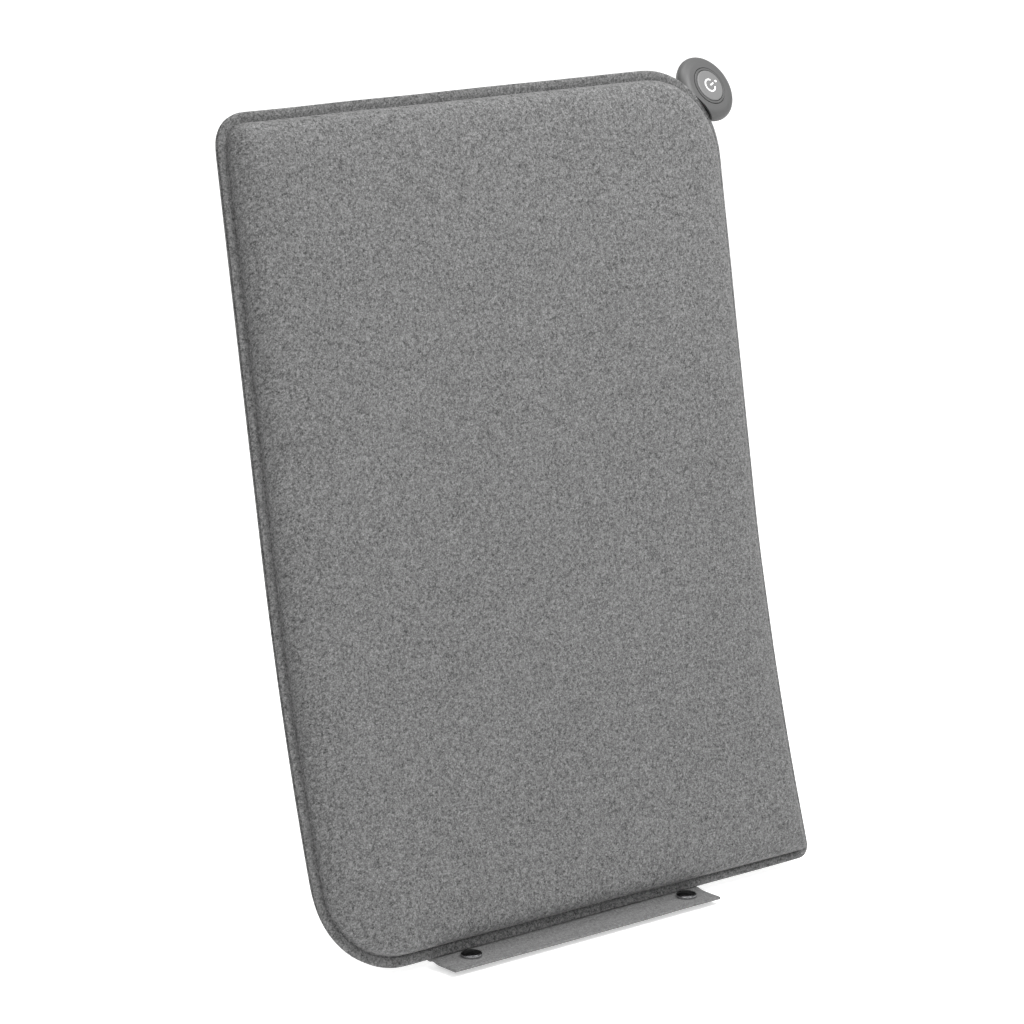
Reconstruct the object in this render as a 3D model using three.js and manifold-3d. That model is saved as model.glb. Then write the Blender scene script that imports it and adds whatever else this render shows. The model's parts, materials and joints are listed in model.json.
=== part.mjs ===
// Padded felt infrared heating mat with a corner controller and a snap tab.
// Units are millimetres, +Z is up and the mat's front looks along -Y.
// The mat is modelled in its own frame: x across it, y behind the front of its sewn edge, z up it
// from the fold line. That frame then leans back, and the lower half curves forward.

import * as THREE from 'three';
import { mergeVertices } from 'three/addons/utils/BufferGeometryUtils.js';
import Module from 'manifold-3d';

const wasm = await Module();
wasm.setup();

// ---------------------------------------------------------------- driving dimensions

const GAP = 0.3; // between pieces that touch

const MAT_WIDTH = 450;
const UPPER_LENGTH = 300;
const LOWER_LENGTH = 300;
const LEAN = 9.2; // degrees that the upper half leans back
const BEND = 8.3; // further degrees that the lower half curves through
const BEND_STEPS = 6;
const SPLIT = 0.5; // between the two halves at the fold line
const CORNERS = { bottomLeft: 65, bottomRight: 10.5, topRight: 68.5, topLeft: 22 };
const CORNER_STEPS = 8;
const LEAST_CORNER = 2;

const FELT = 2.5; // each cover
const EDGE_WIDTH = 9; // flat sewn edge around the raised panel
const PANEL_HEIGHT = 15; // raised panel above the sewn edge
const SHOULDER = [
  { inset: 0, drop: 6.5 },
  { inset: 2.5, drop: 2.4 },
  { inset: 7, drop: 0 },
];
const FILM = 0.8;
const BUSBAR = 0.6;
const BUSBAR_WIDTH = 12;
const BUSBAR_INSET = 36; // from the mat's side to the busbar's middle
const BUSBAR_END = 75; // from the mat's end to the busbar's end
const REFLECTOR = 1;
const LINING_GAP = 0.6; // from the cover's inner wall to the film and the reflector

const LEAD_RADIUS = 0.7;
const LEAD_PITCH = 3.6;
const LEAD_SIDES = 8;
const CHANNEL_WIDTH = 7;
const LEAD_DIP = [
  { run: 0, share: 0 },
  { run: 0.37, share: 0.42 },
  { run: 0.66, share: 0.8 },
  { run: 0.95, share: 1 },
];
const LEAD_START = { onBoard: [10, 2.9], inSeam: [1, -0.5, -3] }; // out from the mat's corner
const LEAD_OVERLAP = 6; // length of a lead that lies on its busbar
const TOP_RUN = 38; // from the mat's top to the long lead
const SENSOR_RUN = 50; // from the mat's top to the sensor lead
const SENSOR = { x: 60, fromTop: 68, width: 5, height: 8, thick: 1.8 };
const CUTOFF = { x: 96, length: 12, height: 4.6, thick: 3.2 };
const WELL = { start: -EDGE_WIDTH - 2.5, end: -EDGE_WIDTH - 25, width: 13, mouth: 3.5 };

const TONGUE = { inner: -EDGE_WIDTH - 1.5, width: 22, thick: 1.6, reach: 1.8, slot: 10.4 };

const PUCK_RADIUS = 26;
const PUCK_FACE = 6; // housing face above the parting plane
const PUCK_BACK = 6.75;
const PUCK_WALL = 1.8;
const PUCK_RIM = { run: 7.5, steps: 5 }; // rounded edge, measured inwards
const PUCK_OUT = 15.8; // housing centre beyond the mat's corner
const PUCK_DEPTH = 10.2;
const PUCK_BEARING = 36.2; // degrees above the mat's +x
const PUCK_TILT_BACK = 22.6;
const PUCK_TILT_SIDE = 6.3;
const ICON_TURN = 69.4; // icon's upright, clockwise from the mat's upward line
const ROUND_STEPS = 32;

const BUTTON_RADIUS = 12.5;
const BUTTON_TOP = 6.75;
const BUTTON_WALL = 1.2;
const BUTTON_PLATE = 1.45;
const BUTTON_SKIRT = 3.2; // height of the skirt's lower edge
const BUTTON_LIP = 1.1;
const BUTTON_LIP_THICK = 0.6;
const BEZEL = { wall: 1.8, bottom: 4.1, top: 6.3, chamfer: 0.4 };
const BUTTON_CHAMFER = 0.5;
const ICON = { radius: 6, stroke: 1.6, gap: 38, barStart: 0.4, barEnd: 5.4, dotAt: 7.7, dotRadius: 1.25 };
const ICON_CLEAR = 0.2;
const PIPE = { radius: 9.6, thick: 0.6, proud: 0.1 };

const BOARD = { radius: 17.6, top: 0.6, thick: 1.6, fromMat: 7 };
const SWITCH = { size: 6, height: 2.1, plungerRadius: 1.6, plungerLength: 2.15, floor: 0.3 };
const TRAVEL = 0.6;
const LED = { width: 2, length: 2.6, height: 0.8 };
const USB = { width: 9, height: 3.3, length: 9, wall: 0.35, mouth: 24.8, bearing: 90 };
const USB_TONGUE = { width: 6.6, thick: 0.7, shy: 1.2 };
const DRIVE = { reach: 1, half: 0.25, depth: 0.6 }; // cross in a screw's head
const SCREW = { sunk: 0.4, headRadius: 1.9, head: 1.2, radius: 1, length: 7.4, at: 20, boss: 2.6 };
const SCREW_BEARINGS = [30, 140, 310];
const POST = { radius: 1.5, at: 13.5, bearings: [0, 60, 120, 280] };

const TAB_LENGTH = 248;
const TAB_CENTRE = -13;
const TAB_REACH = 25.3; // in front of the mat's bottom edge
const TAB_FELT = 2;
const TAB_MARGIN = 10; // sewn behind the mat
const SNAP_SPACING = 201.4;
const SNAP_CENTRE = -8.9;
const SNAP_REACH = 9.2;
const CAP = { radius: 7.6, height: 2.8, post: 2.2, skirt: 0.7 };
const SOCKET = { radius: 6.4, height: 3.1, chamfer: 0.8 };
const CAP_STEPS = 5;

// ---------------------------------------------------------------- depths of the layers

const panelFront = -PANEL_HEIGHT;
const liningFront = panelFront + FELT;
const filmFront = liningFront + GAP;
const filmBack = filmFront + FILM;
const busbarFront = filmBack + GAP;
const busbarBack = busbarFront + BUSBAR;
const foamFront = busbarBack + GAP;
const backCoverFront = FELT + GAP;
const backCoverBack = backCoverFront + FELT;
const reflectorBack = backCoverFront - GAP;
const reflectorFront = reflectorBack - REFLECTOR;
const foamBack = reflectorFront - GAP;
const seamDepth = FELT + GAP / 2;
const leadDepth = busbarBack + GAP + LEAD_RADIUS;
const leadDrop = seamDepth - leadDepth; // from between the covers to the foam's front
const FAR = 80; // longer than any cut needs to be

// the shoulder's first step leaves room for the foam's wide base, the others for its top
const wideInset = EDGE_WIDTH + FELT + GAP;
const wideFront = panelFront + SHOULDER[0].drop + FELT;
const narrowInset = EDGE_WIDTH + SHOULDER[2].inset + FELT;

const bendRadius = LOWER_LENGTH / THREE.MathUtils.degToRad(BEND);
const matBottom = -bendRadius * Math.sin(THREE.MathUtils.degToRad(BEND));
const edgeForward = -bendRadius * (1 - Math.cos(THREE.MathUtils.degToRad(BEND)));

// ---------------------------------------------------------------- solids

const rad = THREE.MathUtils.degToRad;

function signedVolume(geometry) {
  const p = geometry.attributes.position;
  const index = geometry.index.array;
  const a = new THREE.Vector3();
  const b = new THREE.Vector3();
  const c = new THREE.Vector3();
  let volume = 0;
  for (let i = 0; i < index.length; i += 3) {
    a.fromBufferAttribute(p, index[i]);
    b.fromBufferAttribute(p, index[i + 1]);
    c.fromBufferAttribute(p, index[i + 2]);
    volume += a.dot(b.cross(c)) / 6;
  }
  return volume;
}

function closed(geometry) {
  const bare = geometry.clone();
  bare.deleteAttribute('normal');
  bare.deleteAttribute('uv');
  const merged = mergeVertices(bare, 1e-4);
  if (signedVolume(merged) < 0) {
    merged.index.array.reverse();
  }
  return merged;
}

function solid(geometry) {
  const merged = closed(geometry);
  return new wasm.Manifold(
    new wasm.Mesh({
      numProp: 3,
      vertProperties: new Float32Array(merged.attributes.position.array),
      triVerts: new Uint32Array(merged.index.array),
    })
  );
}

function surface(body) {
  const mesh = body.getMesh();
  const geometry = new THREE.BufferGeometry();
  const count = mesh.vertProperties.length / mesh.numProp;
  const positions = new Float32Array(count * 3);
  for (let i = 0; i < count; i++) {
    for (let k = 0; k < 3; k++) {
      positions[3 * i + k] = mesh.vertProperties[mesh.numProp * i + k];
    }
  }
  geometry.setAttribute('position', new THREE.BufferAttribute(positions, 3));
  geometry.setIndex(new THREE.BufferAttribute(new Uint32Array(mesh.triVerts), 1));
  return geometry;
}

function union(bodies) {
  return bodies.reduce((whole, body) => whole.add(body));
}

function cut(body, cutters) {
  return cutters.reduce((left, cutter) => left.subtract(cutter), body);
}

function boxGeometry(low, high, frame = new THREE.Matrix4(), steps = 1) {
  const size = high.map((value, i) => value - low[i]);
  const geometry = new THREE.BoxGeometry(...size, 1, 1, steps);
  geometry.translate(...low.map((value, i) => value + size[i] / 2));
  return geometry.applyMatrix4(frame);
}

function box(low, high, frame) {
  return solid(boxGeometry(low, high, frame));
}

// ---------------------------------------------------------------- the mat's layers

// The mat's outline in x and z, made smaller all round by an inset.
function outline(inset) {
  const side = MAT_WIDTH / 2 - inset;
  const top = UPPER_LENGTH - inset;
  const bottom = matBottom + inset;
  const corner = (name) => Math.max(CORNERS[name] - inset, LEAST_CORNER);
  const [bl, br, tr, tl] = ['bottomLeft', 'bottomRight', 'topRight', 'topLeft'].map(corner);
  const shape = new THREE.Shape();
  shape.moveTo(-side + bl, bottom);
  shape.lineTo(side - br, bottom);
  shape.absarc(side - br, bottom + br, br, -Math.PI / 2, 0, false);
  shape.lineTo(side, top - tr);
  shape.absarc(side - tr, top - tr, tr, 0, Math.PI / 2, false);
  shape.lineTo(-side + tl, top);
  shape.absarc(-side + tl, top - tl, tl, Math.PI / 2, Math.PI, false);
  shape.lineTo(-side, bottom + bl);
  shape.absarc(-side + bl, bottom + bl, bl, Math.PI, 1.5 * Math.PI, false);
  return shape;
}

// Everything inside an outline, from one depth to another, straight through the mat.
function outlinePrism(inset, front, back) {
  const geometry = new THREE.ExtrudeGeometry(outline(inset), {
    depth: back - front,
    bevelEnabled: false,
    curveSegments: CORNER_STEPS,
  });
  geometry.rotateX(Math.PI / 2);
  geometry.translate(0, back, 0);
  return solid(geometry);
}

// A sheet across the mat between two depths, flat in the upper half and curved in the lower.
function sheet(half, front, back, left = -MAT_WIDTH, right = MAT_WIDTH) {
  if (half === 'upper') {
    return box([left, front, SPLIT / 2], [right, back, UPPER_LENGTH + FAR]);
  }
  const shares = [SPLIT / 2 / LOWER_LENGTH];
  for (let i = 1; i <= BEND_STEPS; i++) {
    shares.push(i / BEND_STEPS);
  }
  shares.push(1 + 1.5 / BEND_STEPS);
  const last = shares.length - 1;
  const geometry = boxGeometry([left, front, -last], [right, back, 0], undefined, last);
  const p = geometry.attributes.position;
  for (let i = 0; i < p.count; i++) {
    const angle = rad(BEND) * shares[Math.round(-p.getZ(i))];
    const radius = bendRadius + p.getY(i);
    p.setXYZ(i, p.getX(i), radius * Math.cos(angle) - bendRadius, -radius * Math.sin(angle));
  }
  return solid(geometry);
}

function layer(half, inset, front, back) {
  return sheet(half, front, back).intersect(outlinePrism(inset, -FAR, FAR));
}

// ---------------------------------------------------------------- places at the controller's corner

const bearing = rad(PUCK_BEARING);
const cornerX = MAT_WIDTH / 2 - CORNERS.topRight;
const cornerZ = UPPER_LENGTH - CORNERS.topRight;

// Frame at the mat's rounded corner: outward, backward, and along the edge.
const cornerFrame = new THREE.Matrix4().makeBasis(
  new THREE.Vector3(Math.cos(bearing), 0, Math.sin(bearing)),
  new THREE.Vector3(0, 1, 0),
  new THREE.Vector3(-Math.sin(bearing), 0, Math.cos(bearing))
);
cornerFrame.setPosition(
  cornerX + CORNERS.topRight * Math.cos(bearing),
  0,
  cornerZ + CORNERS.topRight * Math.sin(bearing)
);

function atCorner(out, depth, along) {
  return new THREE.Vector3(out, depth, along).applyMatrix4(cornerFrame);
}

const puckNormal = new THREE.Vector3(
  Math.sin(rad(PUCK_TILT_SIDE)),
  -1,
  Math.sin(rad(PUCK_TILT_BACK))
);
puckNormal.y = -Math.sqrt(1 - puckNormal.x ** 2 - puckNormal.z ** 2);
const puckUp = new THREE.Vector3(0, 0, 1).addScaledVector(puckNormal, -puckNormal.z).normalize();
const puckRight = puckUp.clone().cross(puckNormal);
const iconUp = puckUp
  .clone()
  .multiplyScalar(Math.cos(rad(ICON_TURN)))
  .addScaledVector(puckRight, Math.sin(rad(ICON_TURN)));
const iconRight = iconUp.clone().cross(puckNormal);

// The controller's frame: +Y out of its face, -Z towards the top of its icon.
const puckFrame = new THREE.Matrix4().makeBasis(iconRight, puckNormal, iconUp.clone().negate());
puckFrame.setPosition(atCorner(PUCK_OUT, PUCK_DEPTH, 0));
const intoPuck = puckFrame.clone().invert();

// A turn about the controller's axis that carries the icon's upright line to a bearing, measured
// clockwise from the mat's upward line.
function turned(degrees) {
  return new THREE.Matrix4().makeRotationY(-rad(degrees - ICON_TURN));
}

function puckPlaneDepth(out, along) {
  const normal = puckNormal.clone().applyMatrix3(
    new THREE.Matrix3().setFromMatrix4(cornerFrame.clone().invert())
  );
  return PUCK_DEPTH - (normal.x * (out - PUCK_OUT) + normal.z * along) / normal.y;
}

// ---------------------------------------------------------------- leads

function tube(points, radius, steps) {
  const path = new THREE.CatmullRomCurve3(points, false, 'centripetal');
  const section = new THREE.Shape();
  for (let i = 0; i < LEAD_SIDES; i++) {
    const angle = (2 * Math.PI * i) / LEAD_SIDES;
    const point = [radius * Math.cos(angle), radius * Math.sin(angle)];
    if (i === 0) {
      section.moveTo(...point);
    } else {
      section.lineTo(...point);
    }
  }
  return closed(new THREE.ExtrudeGeometry(section, { steps, extrudePath: path, bevelEnabled: false }));
}

// The stretch that every lead shares: off the board, between the covers and into the foam's well.
function leadStart(along) {
  const onBoard = (BOARD.top + GAP + LEAD_RADIUS) / -puckNormal.y;
  return [
    ...LEAD_START.onBoard.map((out) => atCorner(out, puckPlaneDepth(out, along) - onBoard, along)),
    ...LEAD_START.inSeam.map((out) => atCorner(out, seamDepth, along)),
    atCorner(WELL.start / 2, seamDepth, along),
    ...LEAD_DIP.map(({ run, share }) =>
      atCorner(WELL.start - 1.5 - run * leadDrop, seamDepth - share * leadDrop, along)
    ),
  ];
}

const topRun = UPPER_LENGTH - TOP_RUN;
const sensorRun = UPPER_LENGTH - SENSOR_RUN;
const busbarX = MAT_WIDTH / 2 - BUSBAR_INSET;
const busbarTop = UPPER_LENGTH - BUSBAR_END;
const leadEnd = busbarTop - LEAD_OVERLAP;
const sensorTop = UPPER_LENGTH - SENSOR.fromTop + SENSOR.height / 2;
const cutoffRight = CUTOFF.x + CUTOFF.length / 2;
const cutoffLeft = CUTOFF.x - CUTOFF.length / 2;

function inFoam(x, z) {
  return new THREE.Vector3(x, leadDepth, z);
}

const leadPaths = {
  lead_positive: {
    steps: 26,
    points: [
      ...leadStart(-LEAD_PITCH),
      inFoam(busbarX + 1.5, topRun - 14),
      inFoam(busbarX, topRun - 24),
      inFoam(busbarX, leadEnd),
    ],
  },
  lead_negative: {
    steps: 30,
    points: [
      ...leadStart(LEAD_PITCH),
      inFoam(busbarX - 8, topRun),
      inFoam(busbarX - 20, topRun),
      inFoam(cutoffRight + GAP, topRun),
    ],
  },
  lead_sensor: {
    steps: 36,
    points: [
      ...leadStart(0),
      inFoam(busbarX - 6, sensorRun + 2),
      inFoam(busbarX - 16, sensorRun),
      inFoam(SENSOR.x + 10, sensorRun),
      inFoam(SENSOR.x + 1, sensorRun - 2.5),
      inFoam(SENSOR.x, sensorTop + GAP),
    ],
  },
  lead_return: {
    steps: 44,
    points: [
      inFoam(cutoffLeft - GAP, topRun),
      inFoam(0, topRun),
      inFoam(-busbarX + 8, topRun),
      inFoam(-busbarX + 1, topRun - 1),
      inFoam(-busbarX, topRun - 8),
      inFoam(-busbarX, leadEnd),
    ],
  },
};

// Channels in the foam's front face for the leads, from the same values as their routes.
function leadChannels() {
  const front = foamFront - FILM;
  const back = leadDepth + LEAD_RADIUS + GAP;
  const half = CHANNEL_WIDTH / 2;
  return [
    box([-busbarX - half, front, topRun - half], [busbarX + half, back, topRun + half]),
    box([SENSOR.x - half, front, sensorRun - half], [busbarX + half, back, sensorRun + half]),
    box([SENSOR.x - half, front, sensorTop - half], [SENSOR.x + half, back, sensorRun]),
    box([busbarX - half, front, leadEnd - half], [busbarX + 2 * half, back, topRun]),
    box([-busbarX - half, front, leadEnd - half], [-busbarX + half, back, topRun]),
  ];
}

const sensorBox = {
  low: [SENSOR.x - SENSOR.width / 2, busbarFront, sensorTop - SENSOR.height],
  high: [SENSOR.x + SENSOR.width / 2, busbarFront + SENSOR.thick, sensorTop],
};
const cutoffBox = {
  low: [cutoffLeft, busbarFront, topRun - CUTOFF.height / 2],
  high: [cutoffRight, busbarFront + CUTOFF.thick, topRun + CUTOFF.height / 2],
};

function pocket({ low, high }) {
  return box(
    low.map((value) => value - GAP),
    high.map((value) => value + GAP)
  );
}

// ---------------------------------------------------------------- covers, foam, film and busbars

function seamPocket() {
  const half = TONGUE.width / 2 + GAP;
  const thick = TONGUE.thick / 2 + GAP;
  return box(
    [WELL.start - WELL.mouth, seamDepth - thick, -half],
    [TONGUE.reach + GAP, seamDepth + thick, half],
    cornerFrame
  );
}

function frontCover(half) {
  const steps = SHOULDER.map(({ inset, drop }) =>
    layer(half, EDGE_WIDTH + inset, panelFront + drop, FELT)
  );
  const body = union([layer(half, 0, 0, FELT), ...steps]);
  const hollow = [
    layer(half, wideInset, wideFront, FELT + GAP),
    layer(half, narrowInset, liningFront, FELT + GAP),
  ];
  return cut(body, half === 'upper' ? [...hollow, seamPocket()] : hollow);
}

function backCover(half) {
  const body = layer(half, 0, backCoverFront, backCoverBack);
  return half === 'upper' ? cut(body, [seamPocket()]) : body;
}

function well() {
  return box(
    [WELL.end, foamFront - FILM, -WELL.width / 2],
    [WELL.start, backCoverFront, WELL.width / 2],
    cornerFrame
  );
}

function foamCore(half) {
  const body = layer(half, wideInset + GAP, wideFront + GAP, foamBack).add(
    layer(half, narrowInset + GAP, foamFront, foamBack)
  );
  if (half === 'lower') {
    return body;
  }
  return cut(body, [...leadChannels(), well(), pocket(sensorBox), pocket(cutoffBox)]);
}

function heatingFilm(half) {
  return layer(half, narrowInset + LINING_GAP, filmFront, filmBack);
}

function heatReflector(half) {
  const body = layer(half, wideInset + LINING_GAP, reflectorFront, reflectorBack);
  return half === 'upper' ? cut(body, [well()]) : body;
}

function busbar(half, side) {
  const middle = side * busbarX;
  const strip = sheet(
    half,
    busbarFront,
    busbarBack,
    middle - BUSBAR_WIDTH / 2,
    middle + BUSBAR_WIDTH / 2
  );
  return strip.intersect(
    box([-MAT_WIDTH, -FAR, matBottom + BUSBAR_END], [MAT_WIDTH, FAR, busbarTop])
  );
}

// ---------------------------------------------------------------- controller

function lathe(points) {
  const profile = points.map(([r, h]) => new THREE.Vector2(r, h));
  return solid(new THREE.LatheGeometry(profile, ROUND_STEPS));
}

function rod(radius, low, high, frame = new THREE.Matrix4(), out = 0) {
  const geometry = new THREE.CylinderGeometry(radius, radius, high - low, 16);
  geometry.translate(0, (low + high) / 2, -out);
  return solid(geometry.applyMatrix4(frame));
}

// One quarter of the housing's rounded rim, from its parting plane to its face.
function rim(radius, height, sign) {
  const points = [];
  const { run, steps } = PUCK_RIM;
  for (let i = 0; i <= steps; i++) {
    const angle = (Math.PI / 2) * (i / steps);
    points.push([radius - run + run * Math.cos(angle), sign * height * Math.sin(angle)]);
  }
  return points;
}

// A half's wall, from its parting edge over the rim and back along its inside.
function wallProfile(height, sign) {
  const outer = rim(PUCK_RADIUS, height, sign);
  const inner = rim(PUCK_RADIUS - PUCK_WALL, height - PUCK_WALL, sign);
  outer[0] = [PUCK_RADIUS, (sign * GAP) / 2];
  inner[0] = [PUCK_RADIUS - PUCK_WALL, (sign * GAP) / 2];
  return { outer: outer.reverse(), inner };
}

function topProfile() {
  const { outer, inner } = wallProfile(PUCK_FACE, 1);
  const edge = [buttonHole, PUCK_FACE];
  return [edge, ...outer, ...inner, [buttonHole, PUCK_FACE - PUCK_WALL], edge];
}

function backProfile() {
  const { outer, inner } = wallProfile(PUCK_BACK, -1);
  return [[0, -PUCK_BACK], ...outer, ...inner, [0, -PUCK_BACK + PUCK_WALL]];
}

// Where the mat lies, with a little clearance, in the controller's frame.
function matCutter(clearance) {
  const prism = surface(outlinePrism(-clearance, -FAR, backCoverBack + GAP));
  return solid(prism.applyMatrix4(intoPuck));
}

function usbSlot() {
  const across = USB.width / 2 + GAP;
  const high = USB.height / 2 + GAP;
  return box([-across, -high, -FAR], [across, high, GAP - (USB.mouth - USB.length)], turned(USB.bearing));
}

// The whole of the housing, without its hollow.
function housingBlank() {
  return lathe([
    [0, -PUCK_BACK],
    ...rim(PUCK_RADIUS, PUCK_BACK, -1).reverse(),
    ...rim(PUCK_RADIUS, PUCK_FACE, 1).slice(1),
    [0, PUCK_FACE],
  ]);
}

const buttonHole = BUTTON_RADIUS + 2 * GAP + BEZEL.wall;
const skirtReach = BUTTON_SKIRT - TRAVEL - GAP;

// A flat tongue that is sewn between the covers, and the wall that joins it to the top shell.
function tongue() {
  const half = TONGUE.width / 2;
  const thick = TONGUE.thick / 2;
  const toPuck = intoPuck.clone().multiply(cornerFrame);
  const sewn = box([TONGUE.inner, seamDepth - thick, -half], [GAP, seamDepth + thick, half], toPuck);
  const wall = box([GAP / 2, -FAR, -half], [TONGUE.reach, seamDepth + thick, half], toPuck)
    .intersect(housingBlank())
    .subtract(rod(buttonHole, skirtReach, FAR));
  const slot = box(
    [-FAR, seamDepth - FELT, -TONGUE.slot / 2],
    [FAR, FAR, TONGUE.slot / 2],
    toPuck
  );
  return sewn.add(wall).subtract(slot);
}

const screwBottom = -PUCK_BACK + SCREW.sunk;
const bossTop = PUCK_FACE - PUCK_WALL;

function topShell() {
  const shell = lathe(topProfile());
  const bosses = SCREW_BEARINGS.map((b) => rod(SCREW.boss, GAP / 2, bossTop + GAP, turned(b), SCREW.at));
  const bores = SCREW_BEARINGS.map((b) =>
    rod(SCREW.radius + GAP, -FAR, screwBottom + SCREW.head + SCREW.length + GAP, turned(b), SCREW.at)
  );
  const whole = union([shell, ...bosses]).intersect(housingBlank());
  const notched = cut(whole, [matCutter(GAP), usbSlot(), ...bores]);
  return notched.add(tongue());
}

function backShell() {
  const posts = POST.bearings.map((b) =>
    rod(POST.radius, -PUCK_BACK + PUCK_WALL - GAP, BOARD.top - BOARD.thick - GAP, turned(b), POST.at)
  );
  const bosses = SCREW_BEARINGS.map((b) =>
    rod(SCREW.boss, -PUCK_BACK + PUCK_WALL - GAP, -GAP / 2, turned(b), SCREW.at)
  );
  const bores = SCREW_BEARINGS.map((b) => rod(SCREW.radius + GAP, -FAR, FAR, turned(b), SCREW.at));
  const heads = SCREW_BEARINGS.map((b) =>
    rod(SCREW.headRadius + GAP, -FAR, screwBottom + SCREW.head + GAP, turned(b), SCREW.at)
  );
  const whole = union([lathe(backProfile()), ...posts, ...bosses]).intersect(housingBlank());
  return cut(whole, [
    matCutter(GAP),
    usbSlot(),
    ...bores,
    ...heads,
  ]);
}

function screw(angle) {
  const head = rod(SCREW.headRadius, screwBottom, screwBottom + SCREW.head, turned(angle), SCREW.at);
  const shank = rod(
    SCREW.radius,
    screwBottom + SCREW.head / 2,
    screwBottom + SCREW.head + SCREW.length,
    turned(angle),
    SCREW.at
  );
  const { reach, half, depth } = DRIVE;
  const top = screwBottom + depth;
  const cross = [
    box([-reach, -FAR, -SCREW.at - half], [reach, top, -SCREW.at + half], turned(angle)),
    box([-half, -FAR, -SCREW.at - reach], [half, top, -SCREW.at + reach], turned(angle)),
  ];
  return cut(head.add(shank), cross);
}

function usbSocket() {
  const frame = turned(USB.bearing);
  const near = -(USB.mouth - USB.length);
  const across = USB.width / 2;
  const high = USB.height / 2;
  const can = box([-across, -high, -USB.mouth], [across, high, near], frame);
  const hollow = box(
    [-across + USB.wall, -high + USB.wall, -USB.mouth - 1],
    [across - USB.wall, high - USB.wall, near - 1],
    frame
  );
  const blade = box(
    [-USB_TONGUE.width / 2, -USB_TONGUE.thick / 2, -USB.mouth + USB_TONGUE.shy],
    [USB_TONGUE.width / 2, USB_TONGUE.thick / 2, near - 0.5],
    frame
  );
  return can.subtract(hollow).add(blade);
}

function circuitBoard() {
  const low = BOARD.top - BOARD.thick;
  const disc = lathe([
    [0, low],
    [BOARD.radius, low],
    [BOARD.radius, BOARD.top],
    [0, BOARD.top],
  ]);
  const bosses = SCREW_BEARINGS.map((b) => rod(SCREW.boss + GAP, -FAR, FAR, turned(b), SCREW.at));
  return cut(disc, [matCutter(BOARD.fromMat), usbSlot(), ...bosses]);
}

const switchFloor = BOARD.top + GAP;

function switchBody() {
  const half = SWITCH.size / 2;
  const body = box([-half, switchFloor, -half], [half, switchFloor + SWITCH.height, half]);
  return body.subtract(rod(SWITCH.plungerRadius + GAP, switchFloor + SWITCH.floor, FAR));
}

const pipeTop = BUTTON_TOP - BUTTON_PLATE - GAP;
const pipeBottom = pipeTop - PIPE.thick;
const plungerTop = pipeBottom - GAP;

function plunger() {
  return rod(SWITCH.plungerRadius, plungerTop - SWITCH.plungerLength, plungerTop);
}

function statusLed() {
  return box(
    [-LED.width / 2, switchFloor, -ICON.dotAt - LED.length / 2],
    [LED.width / 2, switchFloor + LED.height, -ICON.dotAt + LED.length / 2]
  );
}

function bezel() {
  const inner = BUTTON_RADIUS + GAP;
  return lathe([
    [inner, BEZEL.bottom],
    [inner + BEZEL.wall, BEZEL.bottom],
    [inner + BEZEL.wall, BEZEL.top - BEZEL.chamfer],
    [inner + BEZEL.wall - BEZEL.chamfer, BEZEL.top],
    [inner + BEZEL.chamfer, BEZEL.top],
    [inner, BEZEL.top - BEZEL.chamfer],
    [inner, BEZEL.bottom],
  ]);
}

function extrudeUp(shape, low, high) {
  const geometry = new THREE.ExtrudeGeometry(shape, {
    depth: high - low,
    bevelEnabled: false,
    curveSegments: ROUND_STEPS / 2,
  });
  geometry.rotateX(-Math.PI / 2);
  geometry.translate(0, low, 0);
  return solid(geometry);
}

// The icon's three strokes: an open ring, a bar in its opening and a dot beyond it.
function iconBodies(grow, low, high) {
  const start = rad(90 + ICON.gap) - grow / ICON.radius;
  const end = rad(90 - ICON.gap + 360) + grow / ICON.radius;
  const ring = new THREE.Shape();
  ring.absarc(0, 0, ICON.radius + grow, start, end, false);
  ring.absarc(0, 0, ICON.radius - ICON.stroke - grow, end, start, true);
  const bar = ICON.stroke / 2 + grow;
  const dot = new THREE.Shape();
  dot.absarc(0, ICON.dotAt, ICON.dotRadius + grow, 0, 2 * Math.PI, false);
  return [
    extrudeUp(ring, low, high),
    box([-bar, low, -ICON.barEnd - grow], [bar, high, -ICON.barStart + grow]),
    extrudeUp(dot, low, high),
  ];
}

function lightPipe() {
  const disc = lathe([
    [0, pipeBottom],
    [PIPE.radius, pipeBottom],
    [PIPE.radius, pipeTop],
    [0, pipeTop],
  ]);
  return union([disc, ...iconBodies(0, pipeBottom + PIPE.thick / 2, BUTTON_TOP + PIPE.proud)]);
}

function powerButton() {
  const inner = BUTTON_RADIUS - BUTTON_WALL;
  const lip = BUTTON_RADIUS + BUTTON_LIP;
  const underside = BUTTON_TOP - BUTTON_PLATE;
  const cap = lathe([
    [0, underside],
    [inner, underside],
    [inner, BUTTON_SKIRT],
    [lip, BUTTON_SKIRT],
    [lip, BUTTON_SKIRT + BUTTON_LIP_THICK],
    [BUTTON_RADIUS, BUTTON_SKIRT + BUTTON_LIP_THICK],
    [BUTTON_RADIUS, BUTTON_TOP - BUTTON_CHAMFER],
    [BUTTON_RADIUS - BUTTON_CHAMFER, BUTTON_TOP],
    [0, BUTTON_TOP],
  ]);
  return cut(cap, iconBodies(ICON_CLEAR, underside - GAP, BUTTON_TOP + GAP));
}

// ---------------------------------------------------------------- snap tab

const tabBottom = SOCKET.height + GAP;
const tabTop = tabBottom + TAB_FELT;
const lean = rad(LEAN);
const tabLeft = TAB_CENTRE - TAB_LENGTH / 2;
const tabRight = TAB_CENTRE + TAB_LENGTH / 2;
const marginFront = backCoverBack + GAP;
const marginBack = marginFront + TAB_FELT;
const tabBack = marginBack / Math.cos(lean);
// the mat's bottom edge clears the tab even at the back of the sewn margin
const edgeHeight = tabTop + GAP + marginBack * Math.sin(lean);

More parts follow.
